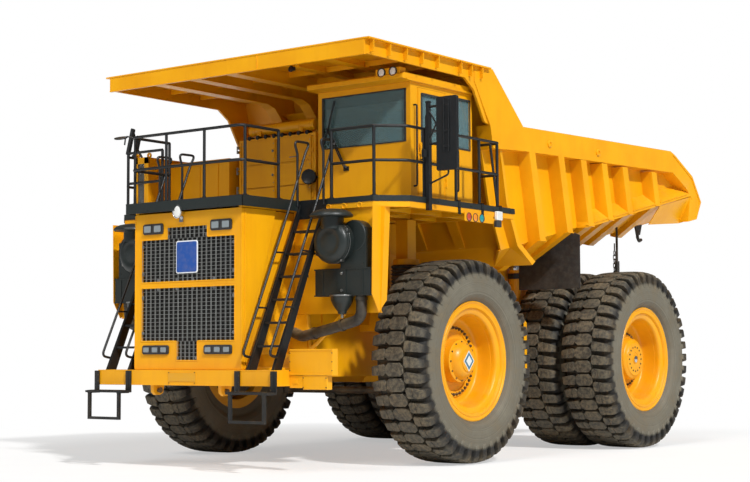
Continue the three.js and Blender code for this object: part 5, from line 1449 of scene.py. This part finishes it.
    def inside(self):
        """The steering wheel and column, and the dash top with its instrument hood."""
        bm = bmesh.new()
        floor = 3900
        centre, axis = at(1650, -640, floor + 830), (0, 0.52, 0.85)
        ring = [(0.018 * math.sin(a), 0.218 + 0.018 * math.cos(a)) for a in (math.tau * i / 10
                                                                             for i in range(11))]
        turned(bm, ring, centre, axis, 40)
        turned(bm, [(-0.03, 0.0), (-0.03, 0.05), (0.012, 0.06), (0.02, 0.05), (0.022, 0.0)], centre, axis,
               20)
        across = Vector((1, 0, 0))
        down = Vector(axis).normalized().cross(across)
        for way in (across, -across, down):
            rod(bm, centre + way * 0.05, centre + way * 0.21, 0.013, 8)
        rod(bm, centre - Vector(axis).normalized() * 0.03, at(1650, -850, floor + 560), 0.030, 14, 0.045)
        block(bm, (820, 2270), (-1058, -790), (floor + 20, floor + 680))
        block(bm, (820, 2270), (-1062, -730), (floor + 600, floor + 780))
        block(bm, (1440, 1860), (-1000, -760), (floor + 770, floor + 850))
        block(bm, (1180, 1300), (-900, -700), (floor + 640, floor + 700))
        finished("cab_dash", bm, "cab_trim", replaces=["dashboard"], bevel=0.014)


# ---------------------------------------------------------------- operator's seat

class BuildSeat(bpy.types.Operator):
    """Builds the operator's seat: a padded cushion, back and headrest on a sprung base"""
    bl_idname = "truck.seat"
    bl_label = "Seat"

    def pad(self, name, middle, size, tilt, replaces=()):
        """A crowned pad whose sides pull in between its corners, with two sewn channels."""
        bm = bmesh.new()
        bmesh.ops.create_cube(bm, size=1.0)
        bmesh.ops.subdivide_edges(bm, edges=bm.edges[:], cuts=7, use_grid_fill=True)
        for vert in bm.verts:
            u, v, w = vert.co.x * 2, vert.co.y * 2, vert.co.z * 2
            crown = (1 - u * u) * (1 - v * v)
            vert.co.z += 0.30 * w * crown * 0.5 - 0.10 * w * math.exp(-((abs(u) - 0.5) / 0.07) ** 2)
            vert.co.x *= 1 - 0.05 * (1 - v * v)
            vert.co.y *= 1 - 0.05 * (1 - u * u)
        bmesh.ops.scale(bm, vec=size, verts=bm.verts)
        bmesh.ops.rotate(bm, cent=(0, 0, 0), matrix=Matrix.Rotation(tilt, 3, "X"), verts=bm.verts)
        bmesh.ops.translate(bm, vec=middle, verts=bm.verts)
        piece = finished(name, bm, "cab_trim", self.cloth(), replaces=replaces, smooth=180)
        soft = piece.modifiers.new("soft", "SUBSURF")
        soft.levels = 1
        soft.render_levels = 1

    def cloth(self):
        """Woven seat cloth: a dark grey plain weave, threads 2 mm apart, with soft sheen."""
        made, tree, shader = material("woven_seat_cloth")
        if tree is None:
            return made
        place = add(tree, "TexCoord", "Object")
        threads = add(tree, "TexChecker", "Fac", {"Vector": place, "Scale": 1000.0 / 4})
        tone = add(tree, "TexNoise", "Fac", {
            "Vector": place, "Scale": 1000.0 / 60, "Detail": 4.0, "Roughness": 0.5})
        base = add(tree, "Mix", 2, {0: tone, 6: linear("#24272B"), 7: linear("#363A40")}, data_type="RGBA")
        weave = {"Height": threads, "Strength": 0.5, "Distance": 0.5 * MM}
        feed(tree, shader, {
            "Base Color": base, "Roughness": 0.9, "Sheen Weight": 0.3,
            "Normal": add(tree, "Bump", "Normal", weave)})
        return made

    def execute(self, context):
        low, high = [Vector(c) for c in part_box("operator_seat")]
        x = (low.x + high.x) / 2
        deep = high.y - low.y
        seat_y = low.y + deep * 0.42
        self.pad("seat_cushion", (x, seat_y, low.z + 0.50), (0.50, 0.48, 0.11), 0.06, ["operator_seat"])
        self.pad("seat_back", (x, high.y - 0.14, low.z + 0.88), (0.48, 0.11, 0.64), -0.10)
        self.pad("seat_headrest", (x, high.y - 0.10, low.z + 1.29), (0.28, 0.09, 0.17), -0.10)
        bm = bmesh.new()
        box(bm, (x - 0.20, seat_y - 0.20, low.z + 0.002), (x + 0.20, seat_y + 0.20, low.z + 0.06))
        for step in range(5):
            rod(bm, (x, seat_y, low.z + 0.07 + 0.06 * step), (x, seat_y, low.z + 0.10 + 0.06 * step), 0.17,
                24)
            rod(bm, (x, seat_y, low.z + 0.10 + 0.06 * step), (x, seat_y, low.z + 0.13 + 0.06 * step), 0.15,
                24)
        box(bm, (x - 0.22, seat_y - 0.20, low.z + 0.37), (x + 0.22, seat_y + 0.20, low.z + 0.43))
        finished("seat_base", bm, "cab_trim", moulded_rubber(), bevel=0.004)
        return {"FINISHED"}


# ---------------------------------------------------------------- electrical cabinet and braking grid

class BuildCabinet(bpy.types.Operator):
    """Builds the electrical cabinet's door seams, latches and cable drum, and the braking grid"""
    bl_idname = "truck.cabinet"
    bl_label = "Cabinet and braking grid"

    def execute(self, context):
        front = -1122
        for hand, x0, x1 in (("left", -186, 545), ("right", -925, -194)):
            body = "cabinet_door_" + hand
            bm = bmesh.new()
            for z0, z1 in ((3900, 4250), (4270, 4620), (4640, 5010)):
                block(bm, (x0 + 26, x1 - 26), (front - 5, front + 2), (z0, z1))
            finished("cabinet_panels_" + hand, bm, "yellow_enamel", body=body, bevel=0.004)
            bm = bmesh.new()
            edge = x0 + 60 if hand == "left" else x1 - 60
            for z in (4060, 4450, 4830):
                rod(bm, at(edge, front - 5, z), at(edge, front - 16, z), 0.019, 18)
                block(bm, (edge - 5, edge + 5), (front - 26, front - 14), (z - 20, z + 20))
            middle = (x0 + x1) / 2
            pipe(bm, spots([(middle + 70, front - 4, 4700), (middle + 70, front - 36, 4700),
                            (middle - 70, front - 36, 4700), (middle - 70, front - 4, 4700)]), 0.008, 0.02,
                 8)
            for z in (3950, 4200, 4330, 4570, 4700, 4950):
                hexagon_bolt(bm, at(x0 + 45, front - 5, z), (0, -1, 0), 0.010, 0.008)
                hexagon_bolt(bm, at(x1 - 45, front - 5, z), (0, -1, 0), 0.010, 0.008)
            finished("cabinet_locks_" + hand, bm, "chromed_rod", bright_steel(), body)
        bm = bmesh.new()
        y, z = -920, 5210
        turned(bm, [(-0.865, 0.0), (-0.862, 0.04), (-0.845, 0.075), (-0.815, 0.094), (0.415, 0.094),
                    (0.445, 0.075), (0.462, 0.04), (0.465, 0.0)], at(0, y, z), (1, 0, 0), 32)
        for x in (-760, -300, 160, 380):
            turned(bm, [(-0.02, 0.094), (-0.02, 0.100), (0.02, 0.100), (0.02, 0.094), (-0.02, 0.094)],
                   at(x, y, z), (1, 0, 0), 32)
        finished("cable_drum", bm, "yellow_enamel", smooth=45)
        bm = bmesh.new()
        for x in range(-760, 480, 170):
            rod(bm, at(x, -1010, 5068), at(x, -1100, 5068), 0.030, 14)
            rod(bm, at(x, -1095, 5068), at(x, -1128, 5068), 0.040, 14, 0.030)
        block(bm, (-880, 540), (-1060, -1030), (5052, 5060))
        finished("cable_glands", bm, "black_paint", bevel=0.002)
        bm = bmesh.new()
        for z in (4250, 4560, 4900):
            for lift in (-34, 34):
                block(bm, (-1010, -976), (-1142, -1085), (z + lift - 22, z + lift + 22))
            rod(bm, at(-994, -1146, z - 60), at(-994, -1146, z + 60), 0.009, 8)
        finished("cabinet_latches", bm, "chromed_rod", bright_steel(), bevel=0.002)
        self.grid()
        return {"FINISHED"}

    def grid(self):
        """The braking grid: a yellow frame round a face of fine mesh, with a lifting eye on each corner."""
        bm = bmesh.new()
        y = -1740
        for low, high in (((-2702, 3900), (-2610, 4842)), ((-2462, 3900), (-2368, 4842)), ((-2702, 4740),
                                                                                           (-2368, 4842)),
                          ((-2702, 3872), (-2368, 3960))):
            block(bm, (low[0], high[0]), (y - 24, y), (low[1], high[1]))
        for x in (-2672, -2400):
            turned(bm, [(-0.012, 0.020), (-0.012, 0.045), (0.012, 0.045), (0.012, 0.020), (-0.012, 0.020)],
                   at(x, y + 30, 4872), (0, 1, 0), 20)
        for z in (4180, 4450):
            block(bm, (-2372, -2364), (y + 40, -340), (z - 30, z + 30))
        for x in (-2250, -1850, -1450):
            block(bm, (x - 150, x + 150), (-1262, -1250), (3960, 4690))
        finished("braking_grid_frame", bm, "yellow_enamel", bevel=0.005)
        bm = bmesh.new()
        for column in range(13):
            x = -2608 + 12 * column
            block(bm, (x - 1.5, x + 1.5), (y - 12, y - 8), (3962, 4738))
        for row in range(40):
            z = 3970 + 19.5 * row
            block(bm, (-2608, -2464), (y - 10, y - 6), (z - 1.6, z + 1.6))
        finished("braking_grid_mesh", bm, "chromed_rod", bright_steel("galvanised_mesh_wire", "#C9CBC8",
                                                                      0.4))
        bm = bmesh.new()
        block(bm, (-2608, -2464), (y - 3, y - 0.4), (3962, 4738))
        finished("braking_grid_back", bm, "cast_steel")


# ---------------------------------------------------------------- dump body

RIB_YS = [2180, 3000, 3660, 4300, 4960, 5930]


def body_side(y):
    """Half width of the dump body at y: its sides draw in towards the front."""
    return 2880 - 0.0414 * (7570 - y)


def body_knee(y):
    """Height at y of the knee where the dump body's sides turn in under it."""
    return 3460 + 0.222 * (y - 2180)


class BuildBody(bpy.types.Operator):
    """Builds the dump body's flanges, bosses, ledge plates, tail brackets and ejector chains"""
    bl_idname = "truck.body"
    bl_label = "Body fittings"

    def band(self, bm, line, x, wide, thick):
        """A flange of a stiffener: a strip that follows line, (y, z) points, thick to its left-hand side."""
        for (y0, z0), (y1, z1) in zip(line, line[1:]):
            along = Vector((0, y1 - y0, z1 - z0)).normalized()
            out = Vector((0, along.z, -along.y)) * thick
            plate(bm, spots([(x - wide, y0, z0), (x + wide, y0, z0), (x + wide, y1, z1), (x - wide, y1,
                                                                                          z1)]), out)

    def execute(self, context):
        body = BODY_OF["dump_body"]
        bm = bmesh.new()
        deep = [(-148, 5850), (60, 5850), (240, 5790), (400, 5630), (600, 5240), (860, 4480), (1020, 3900),
                (1500, 3320)]
        for x in (-1500, -750, 0):
            self.band(bm, deep[::-1], x, 105, -0.014)
        shallow = [(-148, 5955), (560, 5955), (640, 5800), (1020, 4500), (1150, 3900), (1500, 3360)]
        for x in (750, 1500):
            self.band(bm, shallow[::-1], x, 90, -0.010)
        for x0, x1 in ((-1440, -810), (-690, -60), (60, 690)):
            plate(bm, spots([(x0, 500, 5700), (x1, 500, 5700), (x1, 800, 5500), (x0, 800, 5500)]),
                  (0, 0.012, 0.012))
        for side in (1, -1):
            block(bm, (2560, 2655), (-148, 700), (6056, 6078), side)
            for y in (-100, 190, 480):
                block(bm, (2560, 2645), (y - 9, y + 9), (5880, 6058), side)
            for y in (2400, 3900):
                turned(bm, [(0.0, 0.0), (0.0, 0.060), (0.020, 0.058), (0.026, 0.050), (0.026, 0.030),
                            (0.010, 0.026), (0.010, 0.0)], at(side * body_side(y), y, 5060),
                       (side, -0.04, 0), 28)
            for y0, y1 in ((3745, 4215), (4385, 4875), (5045, 5845), (6015, 6500), (6540, 7000)):
                z0, z1 = body_knee(y0), body_knee(y1)
                plate(bm, spots([(body_side(y0) - 20, y0, z0 + 40), (body_side(y1) - 20, y1, z1 + 40),
                                 (body_side(y1) + 14, y1, z1 + 36), (body_side(y0) + 14, y0, z0 + 36)],
                                side), (0, 0, 0.014))
            for y in RIB_YS:
                x, z = body_side(y), body_knee(y)
                block(bm, (x - 60, x + 12), (y - 100, y + 100), (z - 10, z + 4), side)
        finished("dump_body_flanges", bm, "yellow_enamel", body=body, bevel=0.003)
        self.tail(body)
        self.chains(body)
        self.canopy(body)
        return {"FINISHED"}

    def tail(self, body):
        """The raised edges of the tail, the plates that close its sides, and the pads under the floor."""
        bm = bmesh.new()
        for side in (1, -1):
            line = [(6500, 5262), (6620, 5200), (7200, 4885), (7490, 4470), (7340, 4190)]
            for (y0, z0), (y1, z1) in zip(line, line[1:]):
                along = Vector((0, y1 - y0, z1 - z0)).normalized()
                out = Vector((0, -along.z, along.y)) * 0.022
                a, b = at(side * body_side(y0), y0, z0), at(side * body_side(y1), y1, z1)
                plate(bm, [a, b, b + out, a + out], (side * 0.012, 0, 0))
            # The side closes down past the knee between the last rib and the tail.
            low = [(6020, 4290, 10, 3965, 235), (7060, 4520, 10, 4050, 205), (7370, 4560, 6, 4140, 60)]
            for (y0, t0, i0, b0, j0), (y1, t1, i1, b1, j1) in zip(low, low[1:]):
                plate(bm, spots([(body_side(y0) - i0, y0, t0), (body_side(y1) - i1, y1, t1),
                                 (body_side(y1) - j1, y1, b1), (body_side(y0) - j0, y0, b0)], side),
                      (side * -0.020, 0, 0))
            for y in (2900, 4300, 5500):
                z = 3060 + 0.2 * (y - 2000)
                plate(bm, spots([(900, y - 60, z - 190), (900, y + 60, z - 190), (1500, y + 60, z - 20),
                                 (1500, y - 60, z - 20)], side), (0, 0, 0.02))
        finished("dump_body_tail", bm, "yellow_enamel", body=body, bevel=0.004)

    def chains(self, body):
        """Long-link chains that hold the rock ejectors up under the body, and the hooks behind them."""
        bm = bmesh.new()
        for side in (1, -1):
            hook = spots([(2100, 6480, 3905), (2100, 6480, 3780), (2100, 6540, 3712), (2100, 6620, 3745)],
                         side)
            pipe(bm, hook, 0.030, 0.04, 10)
            plate(bm, spots([(2085, 6380, 3990), (2085, 6640, 4030), (2085, 6560, 3830), (2085, 6440, 3820)],
                            side), (side * 0.03, 0, 0))
            for step in range(6):
                middle = at(side * 2115, 5560, 3440 - 74 * step)
                wide = Vector((1, 0, 0)) if step % 2 else Vector((0, 1, 0))
                ring = []
                for corner in range(16):
                    angle = math.tau * corner / 16
                    lift = 0.026 * math.sin(angle) + math.copysign(0.022, math.sin(angle) + 1e-6)
                    ring.append(middle + wide * 0.026 * math.cos(angle) + Vector((0, 0, lift)))
                for a, b in zip(ring, ring[1:] + ring[:1]):
                    rod(bm, a, b, 0.0085, 6)
            rod(bm, at(side * 2115, 5560, 3470), at(side * 2115, 5560, 3620), 0.012, 8)
        finished("ejector_chains", bm, "cast_steel", body=body, smooth=60)

    def canopy(self, body):
        bm = bmesh.new()
        for x in (-1500, -750, 0):
            block(bm, (x - 105, x + 105), (-2385, -158), (5838, 5851))
        for x in (750, 1500):
            block(bm, (x - 90, x + 90), (-2385, -158), (5946, 5956))
        for y in (-1900, -1100, -400):
            for x0, x1 in ((-2520, -1560), (-1440, -810), (-690, -60), (60, 690), (810, 1440), (1560, 2520)):
                block(bm, (x0, x1), (y - 8, y + 8), (5955, 6036))
        block(bm, (-2572, 2572), (-2438, -2426), (6058, 6079))
        block(bm, (-2572, 2572), (-2436, -2388), (5834, 5846))
        for x in (560, 572):
            block(bm, (x - 3, x + 1), (-2436, -2428), (5846, 6060))
        for side in (1, -1):
            block(bm, (2560, 2655), (-2436, -158), (6056, 6078), side)
            for y in range(-2300, -300, 400):
                block(bm, (2560, 2645), (y - 9, y + 9), (5880, 6058), side)
        block(bm, (980, 1120), (-2200, -2120), (5846, 5960))
        finished("canopy_flanges", bm, "yellow_enamel", body=body, bevel=0.003)
        bm = bmesh.new()
        block(bm, (990, 1110), (-2215, -2185), (5800, 5850))
        turned(bm, [(0.0, 0.0), (0.0, 0.046), (0.018, 0.046), (0.022, 0.038), (0.022, 0.0)],
               at(1050, -2215, 5824), (0, -1, 0.2), 20)
        finished("canopy_lamp", bm, "black_paint", body=body, bevel=0.003)


# ---------------------------------------------------------------- front end

class BuildFrontEnd(bpy.types.Operator):
    """Builds the bumper's plate, bolts and tow eyes, the steps' bolts, and the panels behind the ladders"""
    bl_idname = "truck.front_end"
    bl_label = "Front end"

    def execute(self, context):
        bm = bmesh.new()
        block(bm, (-270, 270), (-3402, -3395), (1262, 1382))
        finished("number_plate", bm, "yellow_enamel", flat_enamel("number_plate_ground", linear("#D89A10")),
                 bevel=0.002)
        bm = bmesh.new()
        for side in (1, -1):
            for z in (1240, 1390):
                hexagon_bolt(bm, at(side * 255, -3402, z), (0, -1, 0), 0.011, 0.008)
            for x in (1115, 1705):
                for z in (1150, 1260, 1350):
                    hexagon_bolt(bm, at(side * x, -3420, z), (0, -1, 0), 0.015, 0.013)
            rod(bm, at(side * 600, -3225, 1130), at(side * 740, -3225, 1130), 0.029, 20)
            rod(bm, at(side * 590, -3225, 1130), at(side * 604, -3225, 1130), 0.042, 20)
        for x, z in ((1752, 1420), (1752, 1540), (1752, 1660), (2498, 1420), (2498, 1540), (2498, 1660),
                     (1992, 1190), (1992, 1320), (2394, 1190), (2394, 1320)):
            hexagon_bolt(bm, at(x, -3075, z), (0, -1, 0), 0.012, 0.010)
        finished("front_end_bolts", bm, "cast_steel", cast_steel("oiled_bolt_steel", "#5A4A34"))
        bm = bmesh.new()
        for side in (1, -1):
            block(bm, (1100, 1740), (-3398, -3393), (1408, 1424), side)
        block(bm, (-1738, 1738), (-3400, -3393), (1207, 1222))
        block(bm, (1742, 1975), (-3066, -3050), (1180, 1352))
        block(bm, (1820, 1880), (-3078, -3060), (1240, 1300))
        block(bm, (1744, 2506), (-3083, -3070), (1690, 1713))
        block(bm, (1744, 2506), (-3083, -3070), (1357, 1377))
        finished("front_end_edges", bm, "yellow_enamel", bevel=0.003)
        bm = bmesh.new()
        for side in (1, -1):
            # Anti-slip treads over the step hangers, and the lowest rung with its flat links.
            for x in range(1120, 1700, 48):
                block(bm, (side * x - 10, side * x + 10), (-3598, -3424), (1125, 1133))
            for x in (1100, 1720):
                block(bm, (side * x - 26, side * x + 26), (-3424, -3404), (1110, 1412))
        finished("boarding_treads", bm, "black_paint", bevel=0.002)
        self.bulkhead()
        self.hubs()
        return {"FINISHED"}

    def bulkhead(self):
        """The sheets between the frame and the deck that close in the engine behind the ladders."""
        bm = bmesh.new()
        for side in (1, -1):
            block(bm, (1000, 1012), (-2106, 660), (2090, 3700), side)
            plate(bm, [at(side * 1004, y, z) for y, z in ((-2550, 3700), (-3040, 2040), (-3200, 1466),
                                                          (-2860, 1466), (-2116, 2040), (-2116, 3700))],
                  (side * 0.010, 0, 0))
            block(bm, (822, 834), (-2880, -600), (1900, 2400), side)
            for y in range(-1900, 600, 420):
                block(bm, (1012, 1040), (y - 12, y + 12), (2100, 3690), side)
            for z in (2600, 3200):
                block(bm, (1012, 1034), (-2090, 650), (z - 10, z + 10), side)
            for row in range(9):
                z = 2700 + 52 * row
                plate(bm, spots([(1012, -1780, z), (1012, -1340, z), (1040, -1340, z - 24),
                                 (1040, -1780, z - 24)], side), (0, 0, 0.006))
        finished("engine_side_sheets", bm, "yellow_enamel", bevel=0.002)

    def hubs(self):
        """A blank diamond plate on each front hub, and a bright cap in each rear one."""
        for side, hand in ((1, "left"), (-1, "right")):
            body = BODY_OF["front_rim_" + hand]
            x, y, z = centre_of("front_tyre_" + hand)
            for name, low, high, half, surface in (
                    ("rim", 0.2735, 0.2775, 0.142, flat_enamel("badge_border_enamel", linear("#D9DDDA"))),
                    ("ground", 0.2770, 0.2800, 0.120, flat_enamel("badge_ground_enamel", linear("#2E6C8C"))),
                    ("field", 0.2795, 0.2820, 0.076, flat_enamel("badge_border_enamel", linear("#D9DDDA")))):
                bm = bmesh.new()
                plate(bm, [(x + side * low, y + half, z), (x + side * low, y, z + half * 1.1),
                           (x + side * low, y - half, z), (x + side * low, y, z - half * 1.1)],
                      (side * (high - low), 0, 0))
                finished("hub_plate_" + name + "_" + hand, bm, "cab_trim", surface, body)
            body = BODY_OF["rear_rim_" + hand]
            x, y, z = centre_of("rear_tyre_outer_" + hand)
            bm = bmesh.new()
            turned(bm, [(0.190, 0.0), (0.190, 0.060), (0.206, 0.058), (0.214, 0.040), (0.216, 0.0)],
                   (x, y, z), (side, 0, 0), 32)
            finished("rear_hub_cap_" + hand, bm, "chromed_rod", body=body, smooth=50)


# ---------------------------------------------------------------- running gear

KINGPIN_X, HOIST_X, HOIST_RADIUS, BARREL_TOP = 1500, 970, 105, 1960


class BuildRunningGear(bpy.types.Operator):
    """Builds the struts' boots, the hoists' glands and ports, the tanks' straps and the rear lamps"""
    bl_idname = "truck.running_gear"
    bl_label = "Running gear"

    def execute(self, context):
        bm = bmesh.new()
        for side in (1, -1):
            boot = [(2.36, 0.0), (2.36, 0.212)]
            for step in range(12):
                boot += [(2.38 + 0.055 * step, 0.240), (2.4075 + 0.055 * step, 0.214)]
            boot += [(3.045, 0.0)]
            turned(bm, boot, at(side * KINGPIN_X, 0, 0), (0, 0, 1), 40)
            strut = [(1.965, 0.0), (1.965, 0.107)]
            for step in range(5):
                strut += [(1.975 + 0.030 * step, 0.128), (1.990 + 0.030 * step, 0.108)]
            strut += [(2.115, 0.0)]
            turned(bm, strut, at(side * 620, 5710, 0), (0, 0, 1), 28)
        finished("strut_boots", bm, "flap_rubber", smooth=35)
        foot = Vector((0, 4095, 1105))
        way = (Vector((0, 3970, 3263)) - foot).normalized()
        for side, hand in ((1, "left"), (-1, "right")):
            base = at(side * HOIST_X, foot.y, foot.z)
            bm = bmesh.new()
            for along, radius, thick in ((0.16, 1.09, 0.03), (0.62, 1.05, 0.02), (1.10, 1.05, 0.02),
                                         (BARREL_TOP * MM - 0.055, 1.10, 0.05)):
                inner, outer = HOIST_RADIUS * MM - 0.002, HOIST_RADIUS * MM * radius
                low, high = along - thick, along + thick
                turned(bm, [(low, inner), (low, outer), (high, outer), (high, inner), (low, inner)], base,
                       way, 36)
            for along in (0.30, 1.30):
                spot = base + way * along
                box(bm, spot + Vector((-0.035, -HOIST_RADIUS * MM - 0.05, -0.035)),
                    spot + Vector((0.035, -HOIST_RADIUS * MM + 0.02, 0.035)))
            finished("hoist_collars_" + hand, bm, "black_paint", body=BODY_OF["hoist_barrel_" + hand],
                     bevel=0.003)
        bm = bmesh.new()
        for y in (2330, 3020):
            for x0, x1, z0, z1 in ((1950, 1958, 1280, 2200), (1080, 1900, 2330, 2338), (1080, 1900, 1142,
                                                                                        1150)):
                block(bm, (-x1, -x0), (y - 40, y + 40), (z0, z1))
        for y in (2450, 3050):
            for x0, x1, z0, z1 in ((1700, 1708, 1340, 2160), (990, 1610, 2250, 2258), (990, 1610, 1242,
                                                                                       1250)):
                block(bm, (x0, x1), (y - 35, y + 35), (z0, z1))
        turned(bm, [(2.320, 0.0), (2.320, 0.085), (2.375, 0.085), (2.390, 0.076), (2.392, 0.0)],
               at(-1450, 2500, 0), (0, 0, 1), 24)
        turned(bm, [(2.325, 0.078), (2.325, 0.090), (2.352, 0.090), (2.360, 0.080), (2.360, 0.0)],
               at(1300, 2500, 0), (0, 0, 1), 24)
        block(bm, (1700, 1712), (2700, 2760), (1600, 1900))
        finished("tank_straps", bm, "black_paint", bevel=0.002)
        self.rear()
        return {"FINISHED"}

    def rear(self):
        """The rear lamps on the frame's ends, the reversing buzzer and the axle case's bolts."""
        bm = bmesh.new()
        for side in (1, -1):
            block(bm, (500, 800), (6420, 6470), (2380, 2500), side)
        block(bm, (-60, 60), (6460, 6530), (2470, 2560))
        finished("rear_lamp_boxes", bm, "black_paint", bevel=0.006)
        for name, x, code in (("brake", 730, "#A03020"), ("turn", 630, "#CC7A1E"), ("reverse", 545,
                                                                                    "#D9DAD6")):
            bm = bmesh.new()
            for side in (1, -1):
                turned(bm, [(0.0, 0.0), (0.0, 0.040), (0.008, 0.038), (0.014, 0.022), (0.016, 0.0)],
                       at(side * x, 6470, 2440), (0, 1, 0), 24)
            finished("rear_lamps_" + name, bm, "tinted_glass", lamp_lens("lens_" + name, code))
        bm = bmesh.new()
        for step in range(20):
            angle = math.tau * step / 20
            for side in (1, -1):
                hexagon_bolt(bm, at(side * 420, 5310 + 520 * math.cos(angle), 1530 + 520 * math.sin(angle)),
                             (side, 0, 0), 0.022, 0.02)
        finished("axle_case_bolts", bm, "cast_steel")


# ---------------------------------------------------------------- add-on

OPERATORS = [
    BuildStage, BuildPlating, BuildTyres, BuildRims, BuildGrille, BuildHandrails, BuildLadders, BuildMirrors,
    BuildAirCleaners, BuildDeck, BuildCab, BuildSeat, BuildCabinet,
    BuildBody, BuildFrontEnd, BuildRunningGear,
]


class TruckPanel(bpy.types.Panel):
    """Lists the truck's builders and settings"""
    bl_idname = "VIEW3D_PT_dump_truck"
    bl_label = "Mining Dump Truck"
    bl_space_type = "VIEW_3D"
    bl_region_type = "UI"
    bl_category = "Dump Truck"

    def draw(self, context):
        for operator in OPERATORS:
            self.layout.operator(operator.bl_idname)
        for name in SETTINGS:
            column = self.layout.box().column()
            group = getattr(context.scene, name)
            for field in type(group).__annotations__:
                column.prop(group, field)


def register():
    for kind in SETTINGS.values():
        bpy.utils.register_class(kind)
    for kind in OPERATORS + [TruckPanel]:
        bpy.utils.register_class(kind)
    for name, kind in SETTINGS.items():
        setattr(bpy.types.Scene, name, bpy.props.PointerProperty(type=kind))


def unregister():
    for name in SETTINGS:
        delattr(bpy.types.Scene, name)
    for kind in [TruckPanel] + OPERATORS[::-1]:
        bpy.utils.unregister_class(kind)
    for kind in SETTINGS.values():
        bpy.utils.unregister_class(kind)


def main():
    register()
    scene = bpy.context.scene
    scene.view_settings.view_transform = "Standard"
    for operator in OPERATORS:
        group, name = operator.bl_idname.split(".")
        getattr(getattr(bpy.ops, group), name)()


if __name__ == "__main__":
    main()
